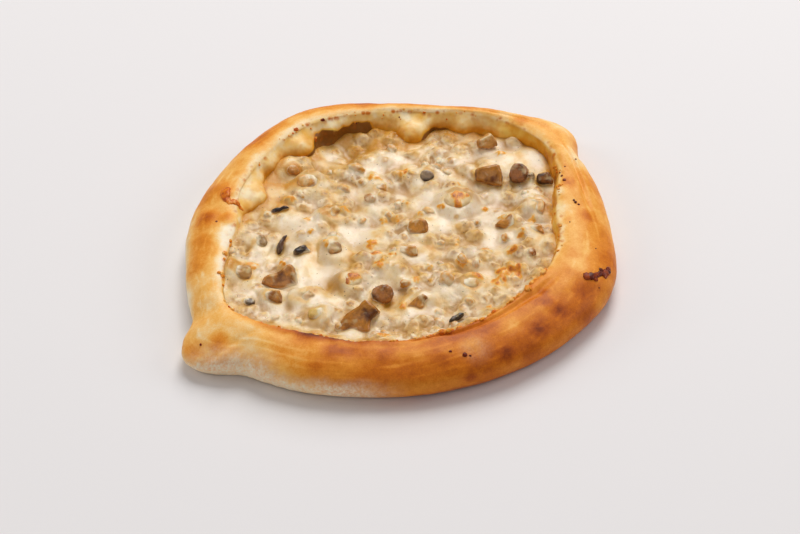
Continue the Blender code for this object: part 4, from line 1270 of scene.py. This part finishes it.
def growLumps(name, places, material, slot):
    # places: x, y, z, size along, across, up, three turns, tone
    places = np.array(places, float)
    data = bpy.data.meshes.new(name)
    data.vertices.add(len(places))
    spots = places[:, :3] + np.array([loft["centre"][0], loft["centre"][1], 0.0])
    data.vertices.foreach_set("co", (spots * mm).ravel())
    for key, values in (("size", places[:, 3:6] * mm), ("turn", places[:, 6:9])):
        layer = data.attributes.new(key, "FLOAT_VECTOR", "POINT")
        layer.data.foreach_set("vector", values.astype(np.float32).ravel())
    addLayer(data, "tone", places[:, 9])
    item = bpy.data.objects.new(name, data)
    bpy.context.scene.collection.objects.link(item)
    tree = lumpTree(name + "Tree", material)
    grow = item.modifiers.new("grow", "NODES")
    grow.node_group = tree
    sockets = {entry.name: entry.identifier for entry in tree.interface.items_tree
               if entry.in_out == "INPUT"}
    for label in ("Unevenness", "Grain", "Detail", "Seed"):
        grow[sockets[label]] = lumpLook[label.lower()]
    bpy.context.view_layer.update()
    graph = bpy.context.evaluated_depsgraph_get()
    mesh = bpy.data.meshes.new_from_object(item.evaluated_get(graph))
    item.modifiers.remove(grow)
    item.data = mesh
    if not mesh.materials:
        mesh.materials.append(material)
    finishPiece(item, slot)
    print(name + ":", len(places), "lumps,", len(mesh.polygons), "faces")
    return item


def chickenDiceMaterial():
    # poached chicken breast and mushroom, diced: matte fibres under a moist film, cheese on top
    material, tree = newMaterial("chickenDice")
    place = addNode(tree, "ShaderNodeTexCoord").outputs["Object"]
    tone = addNode(tree, "ShaderNodeAttribute", {"attribute_name": "tone"}).outputs["Fac"]
    patch = addNode(tree, "ShaderNodeTexNoise", values={"Scale": 300.0, "Detail": 4.0},
                    links={"Vector": place}).outputs["Fac"]
    shade = addNode(tree, "ShaderNodeMath", {"operation": "MULTIPLY_ADD"}, {1: 0.8},
                    {0: patch, 2: tone}).outputs[0]
    shade = addNode(tree, "ShaderNodeMath", {"operation": "SUBTRACT"}, {1: 0.4}, {0: shade}).outputs[0]
    colour = addNode(tree, "ShaderNodeValToRGB", links={"Fac": shade}, stops=[
        (0.0, "#f0c67c"), (0.25, "#e0a248"), (0.50, "#bf7822"), (0.75, "#8c4d12"),
        (1.0, "#4a2a12")]).outputs["Color"]
    upward = addNode(tree, "ShaderNodeNewGeometry").outputs["Normal"]
    upward = addNode(tree, "ShaderNodeSeparateXYZ", links={0: upward}).outputs["Z"]
    cover = addNode(tree, "ShaderNodeMath", {"operation": "MULTIPLY_ADD"}, {1: 0.16},
                    {0: upward, 2: patch}).outputs[0]
    cover = addNode(tree, "ShaderNodeMapRange", values={"From Min": 0.58, "From Max": 0.78,
                    "To Max": 0.70}, links={"Value": cover}).outputs[0]
    colour = addNode(tree, "ShaderNodeMix", {"data_type": "RGBA"}, {7: "#eedcb2"},
                     {0: cover, 6: colour}).outputs[2]
    lapped = addNode(tree, "ShaderNodeAttribute", {"attribute_name": "lapped"}).outputs["Fac"]
    colour = addNode(tree, "ShaderNodeMix", {"data_type": "RGBA"}, {7: "#efdcb8"},
                     {0: lapped, 6: colour}).outputs[2]
    relief = addNode(tree, "ShaderNodeBump", values={"Strength": 0.4, "Distance": 0.0008},
                     links={"Height": patch}).outputs["Normal"]
    rough = addNode(tree, "ShaderNodeMapRange", values={"From Min": 0.3, "From Max": 0.7,
                    "To Min": 0.26, "To Max": 0.46}, links={"Value": patch}).outputs[0]
    shader = addNode(tree, "ShaderNodeBsdfPrincipled", values={
        "Subsurface Weight": 0.25, "Subsurface Radius": (0.004, 0.002, 0.0008),
        "Subsurface Scale": 1.0, "Specular IOR Level": 0.32},
        links={"Base Color": colour, "Roughness": rough, "Normal": relief})
    addNode(tree, "ShaderNodeOutputMaterial", links={"Surface": shader.outputs[0]})
    return material


def crispCheeseMaterial(name, stops):
    # cheese fried crisp on the dough: amber to dark brown, glossy with its own fat
    material, tree = newMaterial(name)
    place = addNode(tree, "ShaderNodeTexCoord").outputs["Object"]
    tone = addNode(tree, "ShaderNodeAttribute", {"attribute_name": "tone"}).outputs["Fac"]
    patch = addNode(tree, "ShaderNodeTexNoise", values={"Scale": 420.0, "Detail": 3.0},
                    links={"Vector": place}).outputs["Fac"]
    shade = addNode(tree, "ShaderNodeMath", {"operation": "MULTIPLY_ADD"}, {1: 0.9},
                    {0: patch, 2: tone}).outputs[0]
    shade = addNode(tree, "ShaderNodeMath", {"operation": "SUBTRACT"}, {1: 0.45}, {0: shade}).outputs[0]
    colour = addNode(tree, "ShaderNodeValToRGB", links={"Fac": shade}, stops=stops).outputs["Color"]
    rough = addNode(tree, "ShaderNodeMapRange", values={"From Min": 0.3, "From Max": 0.7,
                    "To Min": 0.26, "To Max": 0.44}, links={"Value": patch}).outputs[0]
    relief = addNode(tree, "ShaderNodeBump", values={"Strength": 0.35, "Distance": 0.0006},
                     links={"Height": patch}).outputs["Normal"]
    shader = addNode(tree, "ShaderNodeBsdfPrincipled", values={
        "Subsurface Weight": 0.1, "Subsurface Radius": (0.002, 0.001, 0.0005),
        "Subsurface Scale": 1.0, "Specular IOR Level": 0.22},
        links={"Base Color": colour, "Roughness": rough, "Normal": relief})
    addNode(tree, "ShaderNodeOutputMaterial", links={"Surface": shader.outputs[0]})
    return material


def makeDice(dice, sheet):
    draw = random.Random(diceLook["seed"] + 1)
    places = []
    for px, py, size, tone, shown, turn in dice:
        if shown < 0.55 or tone < 0.25:
            continue
        ground = float(sheetHeight(np.array([px]), np.array([py]), sheet)[0])
        places.append((px, py, ground - 0.27 * size + 0.12 * size * shown,
                       size * draw.uniform(0.95, 1.35), size * draw.uniform(0.75, 1.05),
                       size * draw.uniform(0.65, 0.95), draw.uniform(-0.5, 0.5), draw.uniform(-0.5, 0.5),
                       turn, tone))
    item = growLumps("chickenDice", places, chickenDiceMaterial(), "chicken")
    lapWithCheese(item, sheet, diceLook["lap"], evenly=True)


# Fried cheese on the dough
crispLook = {
    "seed": 8,
    # along the rim: first and last angle, lowest and highest row, number, smallest, largest, tone
    "lipRuns": [
        (184, 240, 9.5, 10.2, 46, 1.2, 3.0, 0.30), (240, 296, 9.3, 10.3, 90, 1.4, 4.4, 0.30),
        (150, 180, 9.1, 10.1, 12, 1.4, 2.6, 0.22), (300, 350, 8.6, 10.4, 26, 0.8, 2.0, 0.25),
        (24, 120, 8.5, 10.6, 40, 0.7, 1.7, 0.30),
    ],
    # clusters: angle, row, spread, number, smallest, largest, tone
    "clusters": [
        (156.1, 9.0, 2.2, 10, 1.6, 3.0, 0.30), (149.5, 9.4, 1.4, 4, 1.2, 2.2, 0.25),
        (165.0, 9.2, 3.0, 10, 1.2, 2.4, 0.25), (82.2, 11.1, 1.6, 10, 0.8, 1.9, 0.45),
        (88, 8.9, 1.0, 3, 1.6, 2.4, 0.55), (284, 9.0, 2.4, 12, 2.0, 4.2, 0.35),
        (262, 9.4, 3.0, 9, 1.6, 3.0, 0.40), (247, 9.6, 2.6, 9, 1.6, 3.2, 0.45),
        (338, 9.0, 3.4, 10, 1.0, 2.4, 0.35), (230, 9.7, 3.0, 6, 1.2, 2.4, 0.35),
    ],
    # the comma-shaped drip at the left: angle, row, size
    "drip": [
        (126.1, 7.50, 4.4), (126.8, 7.45, 5.4), (127.5, 7.40, 6.0), (128.2, 7.45, 6.4), (128.9, 7.50, 6.2),
        (129.6, 7.52, 5.6), (130.3, 7.60, 5.0), (130.8, 7.72, 4.4), (131.3, 7.85, 3.8), (131.5, 8.00, 3.4),
        (131.2, 8.20, 3.4), (130.9, 8.40, 3.6), (130.8, 8.60, 4.0), (130.8, 8.80, 4.2), (130.8, 9.10, 4.2),
        (130.9, 9.40, 4.0), (131.0, 9.80, 3.4), (131.2, 10.15, 2.8), (131.2, 10.45, 2.0),
    ],
    # the burnt drip at the right: angle, row, size
    "burnt": [
        (298.4, 5.95, 5.0), (299.0, 5.8, 5.2), (299.6, 5.65, 4.6), (300.3, 5.5, 3.8), (301.0, 5.35, 3.6),
        (301.7, 5.2, 3.8), (302.4, 5.05, 4.0), (303.1, 4.9, 4.4), (303.8, 4.75, 4.4), (304.6, 4.6, 3.8),
        (305.6, 4.6, 3.0), (303.4, 5.3, 3.0), (299.0, 5.4, 3.4), (302.2, 4.7, 3.0),
    ],
    # small burnt bubbles: angle, row, size
    "bubbles": [
        (141.2, 7.1, 1.3), (182.3, 5.5, 1.4), (250.8, 5.9, 2.6), (247.0, 6.5, 1.6), (252.0, 5.6, 1.2),
        (343.0, 8.6, 1.6), (341.0, 8.3, 1.9), (345.0, 9.1, 1.1), (346.5, 8.0, 1.0), (331.0, 7.4, 1.6),
        (330.0, 7.2, 2.0), (329.2, 7.0, 1.5), (311.0, 6.0, 0.9), (348.6, 6.2, 1.0), (297.5, 4.7, 1.0),
        (320.5, 8.0, 0.9), (77.3, 9.25, 2.3), (65.6, 10.75, 1.1), (50.0, 10.2, 0.9),
    ],
}


def dropOn(points, angle, row, size, flat, tone, draw):
    spot = surfacePoint(points, angle, row)
    normal = surfaceNormal(points, angle, row)
    centre = spot + normal * 0.12 * flat * size
    turn = Vector(normal).to_track_quat("Z", "Y").to_euler()
    wide = size * draw.uniform(0.85, 1.15)
    return (*centre, wide, size * draw.uniform(0.85, 1.15), size * flat, *turn, tone)


def surfaceNormal(points, angle, row):
    j = round(angle / 360.0 * points.shape[1])
    i = min(max(round(row * loft["rowSteps"]), 2), points.shape[0] - 3)
    count = points.shape[1]
    around = points[i, (j + 3) % count] - points[i, (j - 3) % count]
    along = points[i + 2, j % count] - points[i - 2, j % count]
    normal = np.cross(around, along)
    return normal / np.linalg.norm(normal)


def makeCrispCheese(points):
    draw = random.Random(crispLook["seed"])
    beads = []
    for first, last, low, high, count, small, large, tone in crispLook["lipRuns"]:
        for _ in range(count):
            angle = draw.uniform(first, last)
            if noise.noise(Vector((angle / 5.0, 3.0, first))) < -0.05:
                continue
            beads.append(dropOn(points, angle, draw.uniform(low, high), draw.uniform(small, large), 0.7,
                                tone + draw.uniform(-0.25, 0.25), draw))
    for angle, row, spread, count, small, large, tone in crispLook["clusters"]:
        for _ in range(count):
            away = spread / 2.2
            beads.append(dropOn(points, angle + draw.gauss(0, 0.45) * away, row + draw.gauss(0, 0.16) * away,
                                draw.uniform(small, large), 0.7, tone + draw.uniform(-0.2, 0.2), draw))
    for angle, row, size in crispLook["drip"]:
        beads.append(dropOn(points, angle, row, size, 0.34, draw.uniform(0.36, 0.64), draw))
    stops = [(0.0, "#f4c674"), (0.3, "#ee9828"), (0.55, "#dc6c0a"), (0.8, "#a44404"), (1.0, "#682804")]
    growLumps("crispCheese", beads, crispCheeseMaterial("friedCheese", stops), "toasted_cheese")
    burnt = [dropOn(points, angle, row, size, 0.45, draw.uniform(0.05, 0.55), draw)
             for angle, row, size in crispLook["burnt"]]
    burnt += [dropOn(points, angle, row, size, 0.6, draw.uniform(0.3, 0.6), draw)
              for angle, row, size in crispLook["bubbles"]]
    stops = [(0.0, "#a04414"), (0.35, "#70240a"), (0.7, "#441406"), (1.0, "#260a04")]
    growLumps("burntDrip", burnt, crispCheeseMaterial("burntCheese", stops), "toasted_cheese")


# Setting: pale floor and soft light, most of it from above and behind

setting = {
    "floorSize": 3.0,
    "floorColour": "#e9e5e4",
    "worldColour": "#eeedef",
    "worldStrength": 0.28,
    # name: watts, size, place (right, away, up)
    "lights": {
        "topBox": (58.0, 2.0, (0.3, 1.7, 2.9)),
        "backBox": (26.0, 1.2, (0.7, 2.6, 2.0)),
        "leftBox": (9.0, 1.2, (-2.2, 0.3, 1.3)),
        "rightBox": (12.0, 1.2, (2.2, 0.4, 1.3)),
        "frontBox": (8.0, 1.6, (-0.3, -1.9, 2.2)),
    },
}


def makeLight(name, watts, size, place):
    heading = math.radians(camera["heading"])
    right = Vector((math.sin(heading), -math.cos(heading), 0.0))
    away = Vector((math.cos(heading), math.sin(heading), 0.0))
    spot = place[0] * right + place[1] * away + Vector((0.0, 0.0, place[2]))
    data = bpy.data.lights.new(name, "AREA")
    data.energy = watts
    data.shape = "DISK"
    data.size = size
    item = bpy.data.objects.new(name, data)
    item.location = spot
    item.rotation_mode = "QUATERNION"
    item.rotation_quaternion = (-spot).to_track_quat("-Z", "Y")
    bpy.context.scene.collection.objects.link(item)


def makeSetting():
    world = bpy.data.worlds.new("studio")
    world.use_nodes = True
    back = world.node_tree.nodes["Background"]
    back.inputs["Color"].default_value = linearColour(setting["worldColour"])
    back.inputs["Strength"].default_value = setting["worldStrength"]
    bpy.context.scene.world = world
    mesh = bmesh.new()
    bmesh.ops.create_grid(mesh, x_segments=2, y_segments=2, size=setting["floorSize"])
    data = bpy.data.meshes.new("paleFloor")
    mesh.to_mesh(data)
    mesh.free()
    floor = bpy.data.objects.new("paleFloor", data)
    bpy.context.scene.collection.objects.link(floor)
    material, tree = newMaterial("paleFloorPaint")
    shader = addNode(tree, "ShaderNodeBsdfPrincipled",
                     values={"Base Color": setting["floorColour"], "Roughness": 0.85})
    addNode(tree, "ShaderNodeOutputMaterial", links={"Surface": shader.outputs[0]})
    data.materials.append(material)
    for name, (watts, size, place) in setting["lights"].items():
        makeLight(name, watts, size, place)
    bpy.context.scene.view_settings.view_transform = "Standard"     # colours as mixed


makeCamera()
cheeseSkin = meltedCheeseMaterial()
cutPieces = makePieces()
gridPoints, gridAngles, gridLevel = buildCrustGrid()
gridPoints = shapeCrust(gridPoints, gridAngles, gridLevel)
makeCrust((gridPoints, gridAngles, gridLevel))
lumps, sheet = makeFilling(gridPoints)
for cutPiece in cutPieces:
    lapWithCheese(cutPiece, sheet, pieceLook["lap"][cutPiece.name.split("_")[0]])
makeDice(lumps, sheet)
makeCrispCheese(gridPoints)
makeSetting()
